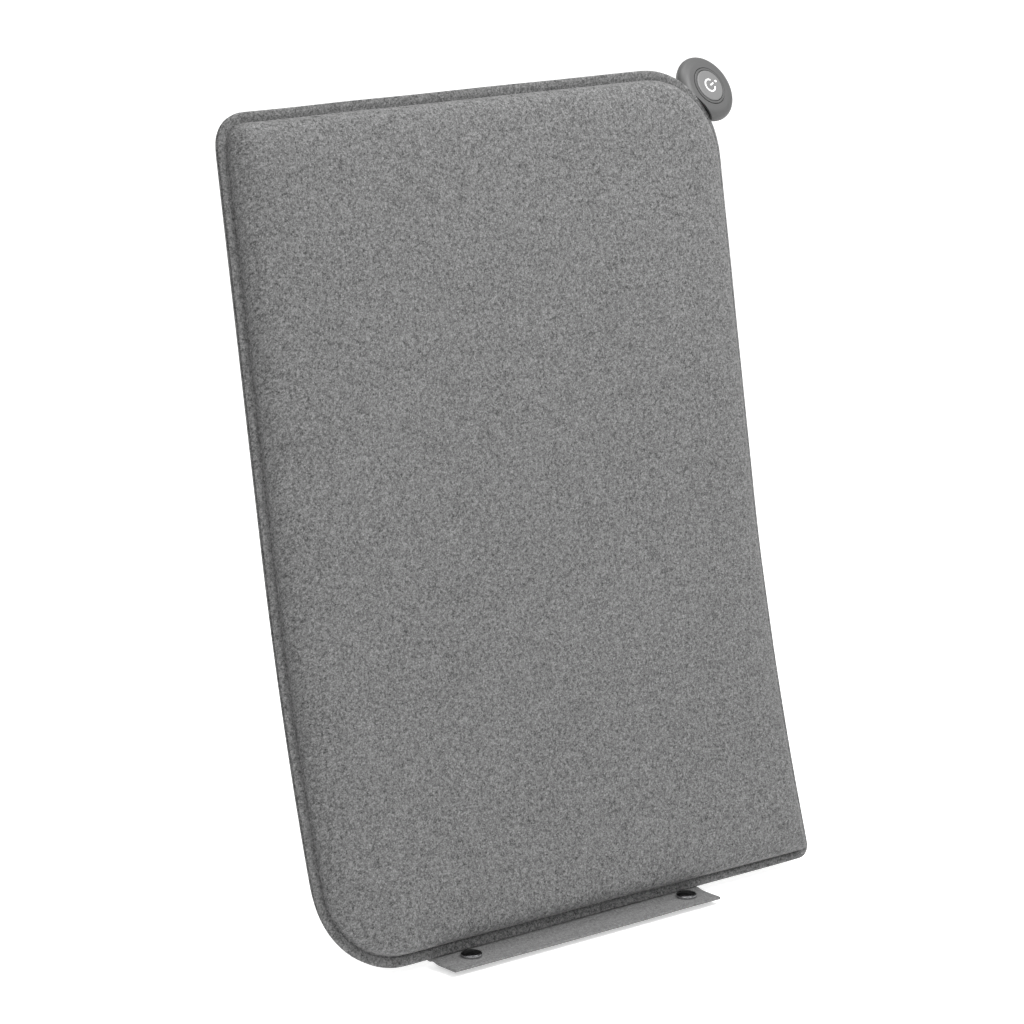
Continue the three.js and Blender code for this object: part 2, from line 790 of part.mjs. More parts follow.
function tabMargin() {
  const strip = sheet('lower', marginFront, marginBack, tabLeft, tabRight);
  return strip.intersect(box([-MAT_WIDTH, -FAR, matBottom], [MAT_WIDTH, FAR, matBottom + TAB_MARGIN]));
}

function snapPlaces() {
  return [-1, 1].map((side) => [SNAP_CENTRE + (side * SNAP_SPACING) / 2, -SNAP_REACH]);
}

function upright(profile, [x, y]) {
  const geometry = surface(lathe(profile));
  geometry.rotateX(Math.PI / 2);
  geometry.translate(x, y, 0);
  return solid(geometry);
}

function snapTab() {
  const body = box([tabLeft, -TAB_REACH, tabBottom], [tabRight, tabBack, tabTop]);
  const hole = [
    [0, 0],
    [CAP.post + GAP, 0],
    [CAP.post + GAP, FAR],
    [0, FAR],
  ];
  return cut(body, snapPlaces().map((place) => upright(hole, place)));
}

function snapCap(place) {
  const bottom = tabTop + GAP;
  const points = [
    [0, tabBottom - SOCKET.height / 2],
    [CAP.post, tabBottom - SOCKET.height / 2],
    [CAP.post, bottom],
    [CAP.radius, bottom],
  ];
  for (let i = 0; i <= CAP_STEPS; i++) {
    const angle = (Math.PI / 2) * (i / CAP_STEPS);
    const rise = (CAP.height - CAP.skirt) * Math.sin(angle);
    points.push([CAP.radius * Math.cos(angle), bottom + CAP.skirt + rise]);
  }
  points[points.length - 1][0] = 0;
  return upright(points, place);
}

function snapSocket(place) {
  const bore = CAP.post + GAP;
  return upright(
    [
      [bore, 0],
      [SOCKET.radius, 0],
      [SOCKET.radius, SOCKET.height - SOCKET.chamfer],
      [SOCKET.radius - SOCKET.chamfer, SOCKET.height],
      [bore, SOCKET.height],
      [bore, 0],
    ],
    place
  );
}

// ---------------------------------------------------------------- materials

function finish(color, roughness, metalness = 0) {
  return new THREE.MeshStandardMaterial({ color, roughness, metalness });
}

const finishes = {
  felt: finish(0x7e7e7e, 0.95),
  tabFelt: finish(0x868686, 0.95),
  foam: finish(0xd9d6cc, 0.9),
  film: finish(0x2b2b2e, 0.5),
  copper: finish(0xb87333, 0.35, 1),
  foil: finish(0xc8cacc, 0.3, 1),
  leadRed: finish(0xa02820, 0.5),
  leadBlack: finish(0x202020, 0.5),
  leadWhite: finish(0xd8d8d4, 0.5),
  housing: finish(0x808080, 0.55),
  cap: finish(0x8c8c8c, 0.5),
  icon: finish(0xf4f4f4, 0.4),
  board: finish(0x1f5a34, 0.6),
  dark: finish(0x28282a, 0.6),
  steel: finish(0xa8a8aa, 0.35, 1),
  gunmetal: finish(0x3a3a3d, 0.3, 1),
};

// ---------------------------------------------------------------- assembly

const part = new THREE.Group();
const mat = new THREE.Group();
const controller = new THREE.Group();
const tab = new THREE.Group();
part.add(mat, tab);
mat.add(controller);

function add(group, name, material, shape) {
  const geometry = shape.isBufferGeometry ? shape : surface(shape);
  const mesh = new THREE.Mesh(geometry, finishes[material]);
  mesh.name = name;
  group.add(mesh);
}

for (const half of ['upper', 'lower']) {
  add(mat, `front_cover_${half}`, 'felt', frontCover(half));
  add(mat, `back_cover_${half}`, 'felt', backCover(half));
  add(mat, `foam_core_${half}`, 'foam', foamCore(half));
  add(mat, `heating_film_${half}`, 'film', heatingFilm(half));
  add(mat, `heat_reflector_${half}`, 'foil', heatReflector(half));
  add(mat, `busbar_left_${half}`, 'copper', busbar(half, -1));
  add(mat, `busbar_right_${half}`, 'copper', busbar(half, 1));
}
add(mat, 'tab_seam_margin', 'tabFelt', tabMargin());
add(mat, 'temperature_sensor', 'dark', box(sensorBox.low, sensorBox.high));
add(mat, 'thermal_cutoff', 'steel', box(cutoffBox.low, cutoffBox.high));

const leadFinishes = {
  lead_positive: 'leadRed',
  lead_negative: 'leadBlack',
  lead_sensor: 'leadWhite',
  lead_return: 'leadBlack',
};
for (const [name, { points, steps }] of Object.entries(leadPaths)) {
  add(mat, name, leadFinishes[name], tube(points, LEAD_RADIUS, steps));
}

add(controller, 'controller_top_shell', 'housing', topShell());
add(controller, 'controller_back_shell', 'housing', backShell());
add(controller, 'button_bezel', 'housing', bezel());
add(controller, 'power_button', 'cap', powerButton());
add(controller, 'icon_light_pipe', 'icon', lightPipe());
add(controller, 'circuit_board', 'board', circuitBoard());
add(controller, 'tact_switch_body', 'dark', switchBody());
add(controller, 'switch_plunger', 'leadWhite', plunger());
add(controller, 'status_led', 'icon', statusLed());
add(controller, 'usb_socket', 'steel', usbSocket());
SCREW_BEARINGS.forEach((angle, i) => {
  add(controller, `controller_screw_${i + 1}`, 'steel', screw(angle));
});
controller.applyMatrix4(puckFrame);

add(tab, 'snap_tab', 'tabFelt', snapTab());
snapPlaces().forEach((place, i) => {
  const side = i === 0 ? 'left' : 'right';
  add(tab, `snap_cap_${side}`, 'gunmetal', snapCap(place));
  add(tab, `snap_socket_${side}`, 'steel', snapSocket(place));
});

// The mat leans back about its bottom front edge, which stands just above the tab.
mat.rotation.x = -lean;
mat.position.y = -(edgeForward * Math.cos(lean) + matBottom * Math.sin(lean));
mat.position.z = edgeHeight + edgeForward * Math.sin(lean) - matBottom * Math.cos(lean);

// The origin is the middle of the whole object's base.
part.updateMatrixWorld(true);
const bounds = new THREE.Box3().setFromObject(part, true);
part.position.set(
  -(bounds.min.x + bounds.max.x) / 2,
  -(bounds.min.y + bounds.max.y) / 2,
  -bounds.min.z
);

export default part;
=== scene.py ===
"""A padded felt heating mat with a corner controller and a snap tab.

It is laid out as an add-on. Run as a script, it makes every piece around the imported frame.
"""

import json
import math

import bmesh
import bpy
import numpy as np
from bpy.props import FloatProperty, FloatVectorProperty, IntProperty, PointerProperty
from mathutils import Matrix, Vector, noise


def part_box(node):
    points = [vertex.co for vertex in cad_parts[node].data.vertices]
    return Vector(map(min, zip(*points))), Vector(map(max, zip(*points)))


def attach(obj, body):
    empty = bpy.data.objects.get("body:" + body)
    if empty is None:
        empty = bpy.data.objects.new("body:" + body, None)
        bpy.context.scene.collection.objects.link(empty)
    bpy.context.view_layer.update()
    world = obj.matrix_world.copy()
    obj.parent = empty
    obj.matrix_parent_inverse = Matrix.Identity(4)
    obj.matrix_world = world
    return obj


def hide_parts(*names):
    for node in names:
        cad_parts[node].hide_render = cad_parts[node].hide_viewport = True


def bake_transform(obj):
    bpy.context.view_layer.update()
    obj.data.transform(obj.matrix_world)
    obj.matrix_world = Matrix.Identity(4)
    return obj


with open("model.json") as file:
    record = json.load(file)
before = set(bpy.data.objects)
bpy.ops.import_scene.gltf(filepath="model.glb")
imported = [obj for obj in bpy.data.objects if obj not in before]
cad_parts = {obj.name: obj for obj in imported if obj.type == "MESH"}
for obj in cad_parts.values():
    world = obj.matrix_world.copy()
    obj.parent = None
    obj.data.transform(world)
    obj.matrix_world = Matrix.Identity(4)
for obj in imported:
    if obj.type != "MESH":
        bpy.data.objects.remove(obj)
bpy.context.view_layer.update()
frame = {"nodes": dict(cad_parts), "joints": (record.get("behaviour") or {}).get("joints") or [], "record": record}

bl_info = {
    "name": "Felt heating mat", "version": (1, 0, 0), "blender": (4, 5, 0),
    "location": "3D View > Sidebar > Heating mat",
    "description": "Makes a padded felt heating mat, its controller and its snap tab",
    "category": "Object",
}

JOINTS = {joint["name"]: joint for joint in frame["joints"]}
BACK = next(m for m in frame["record"]["mounts"] if m["name"] == "back_face")
LEAN = math.asin(-BACK["axis"][2])
MM = 0.001

CORNER_AIMS = {  # which way each corner points across and up the mat
    "bottom_left": (-1, -1),
    "bottom_right": (1, -1),
    "top_right": (1, 1),
    "top_left": (-1, 1),
}
SIDES = {  # each side's first corner, its last one, and the bearing it starts at
    "bottom": ("bottom_left", "bottom_right", 225),
    "right": ("bottom_right", "top_right", 315),
    "top": ("top_right", "top_left", 45),
    "left": ("top_left", "bottom_left", 135),
}
CORNER_CELLS = {"bottom_left": 8, "bottom_right": 4, "top_right": 9, "top_left": 5}
HALF_CORNER = 45

# distance in from the mat's edge and depth behind the sewn edge's front, in millimetres
COVER_PROFILE = [
    (0.0, 1.3), (0.15, 0.6), (0.7, 0.1), (2.0, -0.15), (3.6, -0.2), (5.4, 0.0), (6.4, 0.6),
    (7.0, 1.2), (7.4, 1.1), (7.6, -0.2), (7.5, -2.2), (7.8, -4.8), (9.0, -7.6), (11.4, -10.0),
    (15.0, -12.1), (19.6, -13.6), (26.0, -14.4), (33.0, -14.6),
]
SEWN_RINGS = 8
FOAM_PROFILE = [(14.4, 1.2), (14.4, -2.0), (15.2, -5.6), (17.4, -8.4), (21.0, -9.9), (26.0, -10.2)]
FOAM_BACK = [14.4, 15.5, 17.0, 19.0, 22.0, 26.0]
FILM_PROFILE = [(22.0, -11.9), (23.5, -11.9), (29.0, -11.9)]
FOIL_PROFILE = [(15.0, 1.5), (17.0, 1.5), (27.0, 1.5)]


# ---- sizes and colours


def length(name, description, default):
    return FloatProperty(name=name, description=description, default=default, min=0, unit="LENGTH")


def angle(name, description, default):
    return FloatProperty(name=name, description=description, default=default, subtype="ANGLE")


def colour(name, description, default):
    return FloatVectorProperty(
        name=name, description=description, default=default, size=3, min=0, max=1, subtype="COLOR"
    )


class HEATMAT_PG_mat(bpy.types.PropertyGroup):
    """The padded mat."""

    width: length("Width", "Across the mat", 0.45)
    upper: length("Upper length", "From the fold line to the top", 0.3)
    lower: length("Lower length", "From the fold line to the bottom", 0.3)
    lean: angle("Lean", "How far the upper half leans back", LEAN)
    bend: angle("Bend", "How far the lower half curves on", math.radians(8.3))
    bottom_left: length("Bottom left", "Radius of the bottom left corner", 0.065)
    bottom_right: length("Bottom right", "Radius of the bottom right corner", 0.0105)
    top_right: length("Top right", "Radius of the top right corner", 0.0685)
    top_left: length("Top left", "Radius of the top left corner", 0.022)
    least_corner: length("Least corner", "Smallest radius of an inner outline", 0.002)
    felt: length("Felt", "Thickness of each cover", 0.0025)
    panel: length("Panel", "Height of the raised panel above the sewn edge", 0.015)
    split: length("Split", "Half the slit between the halves of the frame", 0.00025)
    plump: length("Plump", "How far the padding may push the cover out", 0.0018)
    ripple: length("Ripple", "Height of the cover's soft unevenness", 0.0007)
    hem_taper: length("Hem taper", "How much wider and narrower the hem's ends are", 0.0013)
    wide_hem: length("Wide hem", "Height over which the hem's taper fades out", 0.08)
    turn_zone: length("Turn zone", "Distance from the fold line that the layers bend over", 0.022)
    columns: IntProperty(name="Columns", description="Cells across the covers", default=96)
    rows: IntProperty(name="Rows", description="Cells up the covers", default=126)


class HEATMAT_PG_seam(bpy.types.PropertyGroup):
    """The sewn seam around the mat."""

    inset: length("Inset", "From the mat's edge to the stitches", 0.0071)
    pitch: length("Pitch", "From one stitch to the next", 0.0036)
    stitch: length("Stitch", "Length of a stitch", 0.0027)
    thread: length("Thread", "Thickness of the thread", 0.0006)


class HEATMAT_PG_tab(bpy.types.PropertyGroup):
    """The felt tab and its press studs."""

    felt: length("Felt", "Thickness of the tab", 0.002)
    rise: length("Rise", "How far the tab swells towards the mat's edge", 0.0013)
    cap_radius: length("Cap radius", "Radius of a stud's cap", 0.0076)
    cap_edge: length("Cap edge", "Radius of the rounded edge of a stud's cap", 0.0012)
    cap_post: length("Post radius", "Radius of a stud's post", 0.0022)
    socket_radius: length("Socket radius", "Radius of a stud's socket", 0.0064)


class HEATMAT_PG_controller(bpy.types.PropertyGroup):
    """The round controller at the mat's corner."""

    radius: length("Radius", "Radius of the housing", 0.026)
    face: length("Face", "From the parting line to the face", 0.006)
    back: length("Back", "From the parting line to the back", 0.00675)
    wall: length("Wall", "Thickness of the housing", 0.0018)
    button: length("Button", "Radius of the button", 0.0125)
    button_top: length("Button top", "From the parting line to the button's top", 0.00675)
    bezel: length("Bezel", "Width of the ring around the button", 0.0018)
    gap: length("Gap", "Between neighbouring pieces", 0.0003)
    squeeze: length("Squeeze", "How far the housing presses into the felt's rounded edge", 0.0005)


class HEATMAT_PG_finish(bpy.types.PropertyGroup):
    """Colours of the visible finishes."""

    felt: colour("Felt", "Middle colour of the mat's felt", (0.101, 0.101, 0.101))
    tab_felt: colour("Tab felt", "Middle colour of the tab's felt", (0.129, 0.129, 0.129))
    housing: colour("Housing", "Colour of the controller's housing", (0.06, 0.06, 0.06))
    button: colour("Button", "Colour of the button", (0.128, 0.128, 0.128))
    icon: colour("Icon", "Colour of the lit icon", (0.92, 0.92, 0.92))
    stud: colour("Stud", "Colour of the press studs", (0.065, 0.065, 0.068))
    floor: colour("Floor", "Colour of the floor", (0.93, 0.93, 0.93))


class HEATMAT_PG_stage(bpy.types.PropertyGroup):
    """The camera and the lights."""

    azimuth: angle("Azimuth", "Camera's turn from straight in front", math.radians(-39.1))
    elevation: angle("Elevation", "Camera's height", math.radians(13.1))
    roll: angle("Roll", "Camera's roll", math.radians(-0.3))
    offset: FloatVectorProperty(
        name="Offset", description="From the middle of the mat's bottom edge to the camera",
        default=(-1.7528, -2.0787, 0.9328), subtype="TRANSLATION",
    )
    lens: FloatProperty(name="Lens", description="Focal length in millimetres", default=139.66)
    key: FloatProperty(name="Key", description="Power of the main light in watts", default=12)
    fill: FloatProperty(name="Fill", description="Strength of the surroundings", default=0.8)


class HEATMAT_PG_all(bpy.types.PropertyGroup):
    """Everything about the mat that a user may change."""

    mat: PointerProperty(type=HEATMAT_PG_mat)
    seam: PointerProperty(type=HEATMAT_PG_seam)
    tab: PointerProperty(type=HEATMAT_PG_tab)
    controller: PointerProperty(type=HEATMAT_PG_controller)
    finish: PointerProperty(type=HEATMAT_PG_finish)
    stage: PointerProperty(type=HEATMAT_PG_stage)


def chosen():
    return bpy.context.scene.heating_mat


# ---- the mat's form


class MatForm:
    """Places on the mat: across it, behind the front of its sewn edge, and up from its fold."""

    def __init__(self):
        self.size = chosen().mat
        s = self.size
        low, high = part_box("front_cover_upper")
        self.up = np.array([0, math.sin(s.lean), math.cos(s.lean)])
        self.behind = np.array([0, math.cos(s.lean), -math.sin(s.lean)])
        self.fold = np.array(
            [
                (low.x + high.x) / 2,
                low.y + s.panel * math.cos(s.lean) - s.split * math.sin(s.lean),
                low.z + s.felt * math.sin(s.lean) - s.split * math.cos(s.lean),
            ]
        )

    def place(self, across, depth, height):
        across, depth, height = np.broadcast_arrays(across, depth, height)
        s = self.size
        radius = s.lower / s.bend
        angle = np.clip(-height, 0, None) / radius
        upper = height >= 0
        back = np.where(upper, depth, (radius + depth) * np.cos(angle) - radius)
        rise = np.where(upper, height, -(radius + depth) * np.sin(angle))
        place = self.fold + back[..., None] * self.behind + rise[..., None] * self.up
        place[..., 0] += across
        return place

    def corner(self, name, inset):
        """Centre and radius of a corner of the outline that lies inset from the mat's edge."""
        s = self.size
        radius = np.maximum(getattr(s, name) - inset, s.least_corner)
        aim = CORNER_AIMS[name]
        reach = s.upper if aim[1] > 0 else s.lower
        centre = [aim[0] * (s.width / 2 - inset - radius), aim[1] * (reach - inset - radius)]
        return np.stack(centre, -1), radius[..., None]

    def side(self, name, share, inset):
        """Places along a side of an inset outline, from mid-corner to mid-corner."""
        first, last, start = SIDES[name]
        cells = self.size.columns if name in ("bottom", "top") else self.size.rows
        opening, closing = CORNER_CELLS[first] / cells, CORNER_CELLS[last] / cells
        share, inset = np.broadcast_arrays(np.asarray(share, float), np.asarray(inset, float))

        def arc(corner, begin, part):
            centre, radius = self.corner(corner, inset)
            angle = np.radians(begin + HALF_CORNER * np.clip(part, 0, 1))
            return centre + radius * np.stack([np.cos(angle), np.sin(angle)], -1)

        leaving = arc(first, start, share / opening)
        arriving = arc(last, start + HALF_CORNER, (share - 1 + closing) / closing)
        along = np.clip((share - opening) / (1 - opening - closing), 0, 1)[..., None]
        return leaving + along * (arriving - leaving)

    def grid(self, profile, columns, rows):
        """Across, depth and height of a grid whose outer rings follow a profile."""
        i, j = np.meshgrid(np.arange(columns + 1), np.arange(rows + 1), indexing="ij")
        last = len(profile) - 1
        reach = {"bottom": j, "right": columns - i, "top": rows - j, "left": i}
        along = {"bottom": i, "right": j, "top": columns - i, "left": rows - j}
        ring = np.minimum.reduce(list(reach.values()))
        insets = np.array([inset for inset, _ in profile]) * MM
        depths = np.array([depth for _, depth in profile]) * MM
        k = np.minimum(ring, last)
        flat = np.zeros((columns + 1, rows + 1, 2))
        for name in SIDES:
            cells = columns if name in ("bottom", "top") else rows
            share = (along[name] - k) / (cells - 2 * k)
            there = (reach[name] == ring) & (ring <= last)
            flat[there] = self.side(name, share[there], insets[k[there]])
        self.fill(flat, last)
        return flat[..., 0], depths[k], flat[..., 1], ring

    def fill(self, flat, last):
        """Spreads the grid evenly inside its last ring."""
        inner = flat[last:-last, last:-last] if last else flat
        u = np.linspace(0, 1, inner.shape[0])[:, None, None]
        v = np.linspace(0, 1, inner.shape[1])[None, :, None]
        bottom, top = inner[:, :1].copy(), inner[:, -1:].copy()
        left, right = inner[:1].copy(), inner[-1:].copy()
        corners = (
            (1 - u) * (1 - v) * left[:, :1] + u * (1 - v) * right[:, :1]
            + (1 - u) * v * left[:, -1:] + u * v * right[:, -1:]
        )
        inner[:] = (1 - v) * bottom + v * top + (1 - u) * left + u * right - corners

    def outline(self, inset, steps=90):
        """A closed run of places around the mat at one inset."""
        share = np.linspace(0, 1, steps, endpoint=False)
        return np.concatenate([self.side(name, share, inset) for name in SIDES])

    def turn_points(self):
        zone = self.size.turn_zone
        return self.fold + zone * self.up, self.fold - zone * self.up


def grid_mesh(shape, places):
    """Adds a grid with its crossings at the places, and returns its vertices and crossings."""
    columns, rows = (n - 1 for n in places.shape[:2])
    made = bmesh.ops.create_grid(shape, x_segments=columns, y_segments=rows, size=1)["verts"]
    crossings = []
    for vert in made:
        i = round((vert.co.x + 1) / 2 * columns)
        j = round((vert.co.y + 1) / 2 * rows)
        vert.co = places[i, j]
        crossings.append((i, j))
    return made, crossings


def soft_ripple(x, z, seed, size):
    """Smooth unevenness of a size at every place, from about -1 to 1."""
    return np.vectorize(lambda a, b: noise.noise(Vector((a / size, b / size, seed))))(x, z)


# ---- making pieces


def ended(name, shape):
    """Ends a bmesh as a mesh."""
    mesh = bpy.data.meshes.new(name)
    shape.to_mesh(mesh)
    shape.free()
    return mesh


def placed(name, data):
    """An object in the scene that holds a mesh, a light or a camera."""
    obj = bpy.data.objects.new(name, data)
    bpy.context.scene.collection.objects.link(obj)
    return obj


def piece(name, shape, slot, look=None, sharp=None):
    """Ends a bmesh as a smooth-shaded piece, with the finish that its slot names or another one."""
    mesh = ended(name, shape)
    mesh.materials.append(finish(look or slot))
    mesh.polygons.foreach_set("use_smooth", [True] * len(mesh.polygons))
    if sharp is not None:
        mesh.set_sharp_from_angle(angle=math.radians(sharp))
    obj = placed(name, mesh)
    return obj


def thicken(obj, thickness, offset=-1):
    solid = obj.modifiers.new("thickness", "SOLIDIFY")
    solid.thickness = thickness
    solid.offset = offset
    solid.use_even_offset = True


def settled(obj):
    """Applies an object's modifiers to its mesh."""
    bpy.context.view_layer.update()
    shown = obj.evaluated_get(bpy.context.evaluated_depsgraph_get())
    mesh = bpy.data.meshes.new_from_object(shown)
    obj.modifiers.clear()
    obj.data = mesh


def across_fold(form, obj):
    start, end = form.turn_points()
    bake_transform(obj)


def layer(form, name, places, slot, thickness, smooth=False):
    """One of the mat's layers, which runs on over the fold and replaces its two halves."""
    shape = bmesh.new()
    grid_mesh(shape, places)
    sheet = piece(name, shape, slot)
    thicken(sheet, thickness)
    if smooth:
        surface = sheet.modifiers.new("smooth", "SUBSURF")
        surface.levels = surface.render_levels = 1
    settled(sheet)
    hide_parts(f"{name}_upper", f"{name}_lower")
    across_fold(form, sheet)
    return sheet


def outwards(shape):
    bmesh.ops.recalc_face_normals(shape, faces=shape.faces)


def only(kind, made):
    """The vertices or edges among what an operator made."""
    return [part for part in made["geom"] if isinstance(part, kind)]


def turned_piece(profile, steps=72):
    """A closed solid turned about +Y from (radius, height) pairs in millimetres."""
    shape = bmesh.new()
    verts = [shape.verts.new((r * MM, h * MM, 0)) for r, h in profile]
    edges = [shape.edges.new(pair) for pair in zip(verts, verts[1:])]
    if profile[0][0] > 0:
        edges.append(shape.edges.new((verts[-1], verts[0])))
    bmesh.ops.spin(
        shape, geom=verts + edges, cent=(0, 0, 0), axis=(0, 1, 0), angle=2 * math.pi,
        steps=steps, use_merge=True,
    )
    bmesh.ops.remove_doubles(shape, verts=shape.verts, dist=1e-6)
    outwards(shape)
    return shape


def cutter(shape):
    outwards(shape)
    return placed("cutter", ended("cutter", shape))


def cut_with(obj, cutters):
    """Takes cutters away from a piece for good."""
    for tool in cutters:
        taken = obj.modifiers.new("cut", "BOOLEAN")
        taken.operation = "DIFFERENCE"
        taken.solver = "EXACT"
        taken.object = tool
    settled(obj)
    for tool in cutters:
        bpy.data.objects.remove(tool)


# ---- finishes


class Wire:
    """A node's output that arithmetic turns into Math nodes."""

    def __init__(self, finish, socket):
        self.finish = finish
        self.socket = socket

    def sum(self, operation, first, second):
        return self.finish.node("ShaderNodeMath", {"operation": operation}, [first, second])

    def __add__(self, other):
        return self.sum("ADD", self, other)

    __radd__ = __add__

    def __sub__(self, other):
        return self.sum("SUBTRACT", self, other)

    def __rsub__(self, other):
        return self.sum("SUBTRACT", other, self)

    def __mul__(self, other):
        return self.sum("MULTIPLY", self, other)

    __rmul__ = __mul__

    def above(self, edge, steepness):
        """0 below an edge, 1 well above it."""
        clamped = {"operation": "MULTIPLY", "use_clamp": True}
        return self.finish.node("ShaderNodeMath", clamped, [self - edge, steepness])


class Finish:
    """One material, built node by node."""

    def __init__(self, name):
        self.material = bpy.data.materials.new(name)
        self.material.use_nodes = True
        self.tree = self.material.node_tree
        self.tree.nodes.clear()
        self.where = self.node("ShaderNodeTexCoord", output="Object")

    def node(self, kind, settings=None, inputs=(), output=0):
        made = self.tree.nodes.new(kind)
        for key, value in (settings or {}).items():
            setattr(made, key, value)
        pairs = inputs.items() if isinstance(inputs, dict) else enumerate(inputs)
        for key, value in pairs:
            if isinstance(value, Wire):
                self.tree.links.new(value.socket, made.inputs[key])
            else:
                made.inputs[key].default_value = value
        return Wire(self, made.outputs[output]) if len(made.outputs) else None

    def noise(self, scale, detail=2, roughness=0.5, vector=None):
        """Soft noise of a scale over the piece, or over another vector."""
        inputs = {"Scale": scale, "Detail": detail, "Roughness": roughness}
        return self.node("ShaderNodeTexNoise", None, {"Vector": vector or self.where, **inputs})

    def stretched(self, scale, ratio, turn):
        """Noise drawn out along one direction, as fibres are."""
        inputs = {"Vector": self.where, "Rotation": turn, "Scale": (ratio, 1, 1)}
        vector = self.node("ShaderNodeMapping", {"vector_type": "TEXTURE"}, inputs)
        return self.noise(scale, 1, 0.5, vector)

    def mix(self, share, first, second):
        """A colour between two."""
        first, second = (c if isinstance(c, Wire) else (*c, 1)[:4] for c in (first, second))
        inputs = {0: share, 6: first, 7: second}
        return self.node("ShaderNodeMix", {"data_type": "RGBA"}, inputs, output=2)

    def bump(self, height, strength, distance):
        inputs = {"Strength": strength, "Distance": distance, "Height": height}
        return self.node("ShaderNodeBump", None, inputs)

    def end(self, tone, roughness, normal, more=None):
        """Ends the material with its shader, whose other inputs are constants."""
        inputs = {"Base Color": tone, "Roughness": roughness, "Normal": normal, **(more or {})}
        surface = self.node("ShaderNodeBsdfPrincipled", None, inputs)
        self.node("ShaderNodeOutputMaterial", None, {"Surface": surface})
        return self.material


def shade(tone, factor):
    return tuple(min(1, c * factor) for c in tone)


def felt_finish(name, tone, grain, contrast):
    """Pressed melange felt: light and dark fibres matted into small clumps."""
    f = Finish(name)
    fleck = f.noise(980 * grain, 2, 0.7)
    clump = f.noise(430 * grain, 2, 0.55)
    cloud = f.noise(11, 3, 0.55)
    pale_one = f.stretched(1100 * grain, 6, (0.3, 0.4, 0.6))
    pale_two = f.stretched(1100 * grain, 6, (1.2, -0.7, -0.9))
    dark_one = f.stretched(1000 * grain, 5, (-0.5, 0.9, 1.7))
    pale = (pale_one + pale_two) * 0.5
    blend = 0.5 + (fleck - 0.5) * (2.4 * contrast) + (clump - 0.5) * (2.0 * contrast)
    blend = blend + (cloud - 0.5) * 0.1 + (pale - 0.5) * (1.6 * contrast)
    tone_now = f.mix(blend.above(0, 1), shade(tone, 0.25), shade(tone, 1.9))
    tone_now = f.mix(dark_one.above(0.58, 5) * (0.7 * contrast), tone_now, shade(tone, 0.25))
    tone_now = f.mix(pale.above(0.57, 7) * (0.7 * contrast), tone_now, shade(tone, 2.8))
    height = fleck * 0.5 + clump * 0.6 + pale * 0.4
    fuzz = {"Sheen Weight": 0.08, "Sheen Roughness": 0.6, "Specular IOR Level": 0.2}
    return f.end(tone_now, 0.86 + fleck * 0.12, f.bump(height, 0.6, 0.0008), fuzz)


def moulded_finish(name, tone, rough=0.5, texture=1.0):
    """Moulded plastic with a fine spark-eroded texture and slightly polished high spots."""
    f = Finish(name)
    grain = f.noise(2600, 3, 0.6)
    wear = f.noise(60, 3, 0.6)
    share = grain.above(0.3, 2.5) * 0.5 + wear * 0.3
    tone_now = f.mix(share, shade(tone, 0.93), shade(tone, 1.08))
    normal = f.bump(grain, 0.18 * texture, 0.0001)
    return f.end(tone_now, rough + (wear - 0.5) * 0.18, normal, {"Specular IOR Level": 0.45})


def metal_finish(name, tone, rough, brushed=0.3):
    """Plated or rolled metal with faint scratches."""
    f = Finish(name)
    scratches = f.stretched(1800, 14, (0.2, 0.1, 0.7))
    spots = f.noise(240, 3, 0.6)
    tone_now = f.mix(spots, shade(tone, 0.85), shade(tone, 1.15))
    roughness = rough + scratches.above(0.5, 2) * (0.25 * brushed) + spots * 0.06
    return f.end(tone_now, roughness, f.bump(scratches, 0.06 * brushed, 0.0001), {"Metallic": 1})


def stud_finish(name, tone):
    """Dark plating, with brighter metal painted on the rounded edge of the caps as a painted highlight."""
    f = Finish(name)
    depth, spread, uneven = 0.9 * MM, 0.35 * MM, 0.5 * MM
    height = f.node("ShaderNodeSeparateXYZ", None, [f.where], output="Z")
    spots = f.noise(420, 3, 0.6)
    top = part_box("snap_cap_left")[1].z
    # painted highlight: brighter metal on the caps' rounded edge, below their tops, stands in for the crescent of
    # light there
    painted_rim_highlight = (top - depth - height + (spots - 0.5) * uneven).above(0, 1 / spread)
    tone_now = f.mix(painted_rim_highlight, tone, (0.42, 0.42, 0.43))
    return f.end(tone_now, 0.16 + spots * 0.14, f.bump(spots, 0.05, 0.0001), {"Metallic": 1})


def foam_finish(name):
    """Open-cell foam."""
    f = Finish(name)
    cells = f.node("ShaderNodeTexVoronoi", None, {"Vector": f.where, "Scale": 900})
    tone_now = f.mix(cells.above(0.25, 2), (0.5, 0.48, 0.43), (0.76, 0.74, 0.68))
    return f.end(tone_now, 0.95, f.bump(cells, 0.7, 0.0008))


def film_finish(name):
    """Dark film with printed carbon strips across it."""
    f = Finish(name)
    height = f.node("ShaderNodeSeparateXYZ", None, [f.where], output="Z")
    strips = f.node("ShaderNodeMath", {"operation": "SINE"}, [height * 420]).above(0, 4)
    grain = f.noise(1500, 2, 0.6)
    tone_now = f.mix(strips, (0.035, 0.035, 0.04), (0.012, 0.012, 0.013))
    return f.end(tone_now, 0.3 + grain * 0.25, f.bump(strips * 0.6 + grain * 0.1, 0.3, 0.0001))


def foil_finish(name):
    """Crinkled heat-reflecting foil."""
    f = Finish(name)
    edges = {"feature": "DISTANCE_TO_EDGE"}
    creases = f.node("ShaderNodeTexVoronoi", edges, {"Vector": f.where, "Scale": 55})
    fine = f.noise(300, 3, 0.6)
    normal = f.bump(creases.above(0, 6) + fine * 0.3, 0.4, 0.0008)
    tone_now = f.mix(fine, (0.62, 0.63, 0.64), (0.8, 0.8, 0.8))
    return f.end(tone_now, 0.25 + fine * 0.2, normal, {"Metallic": 1})


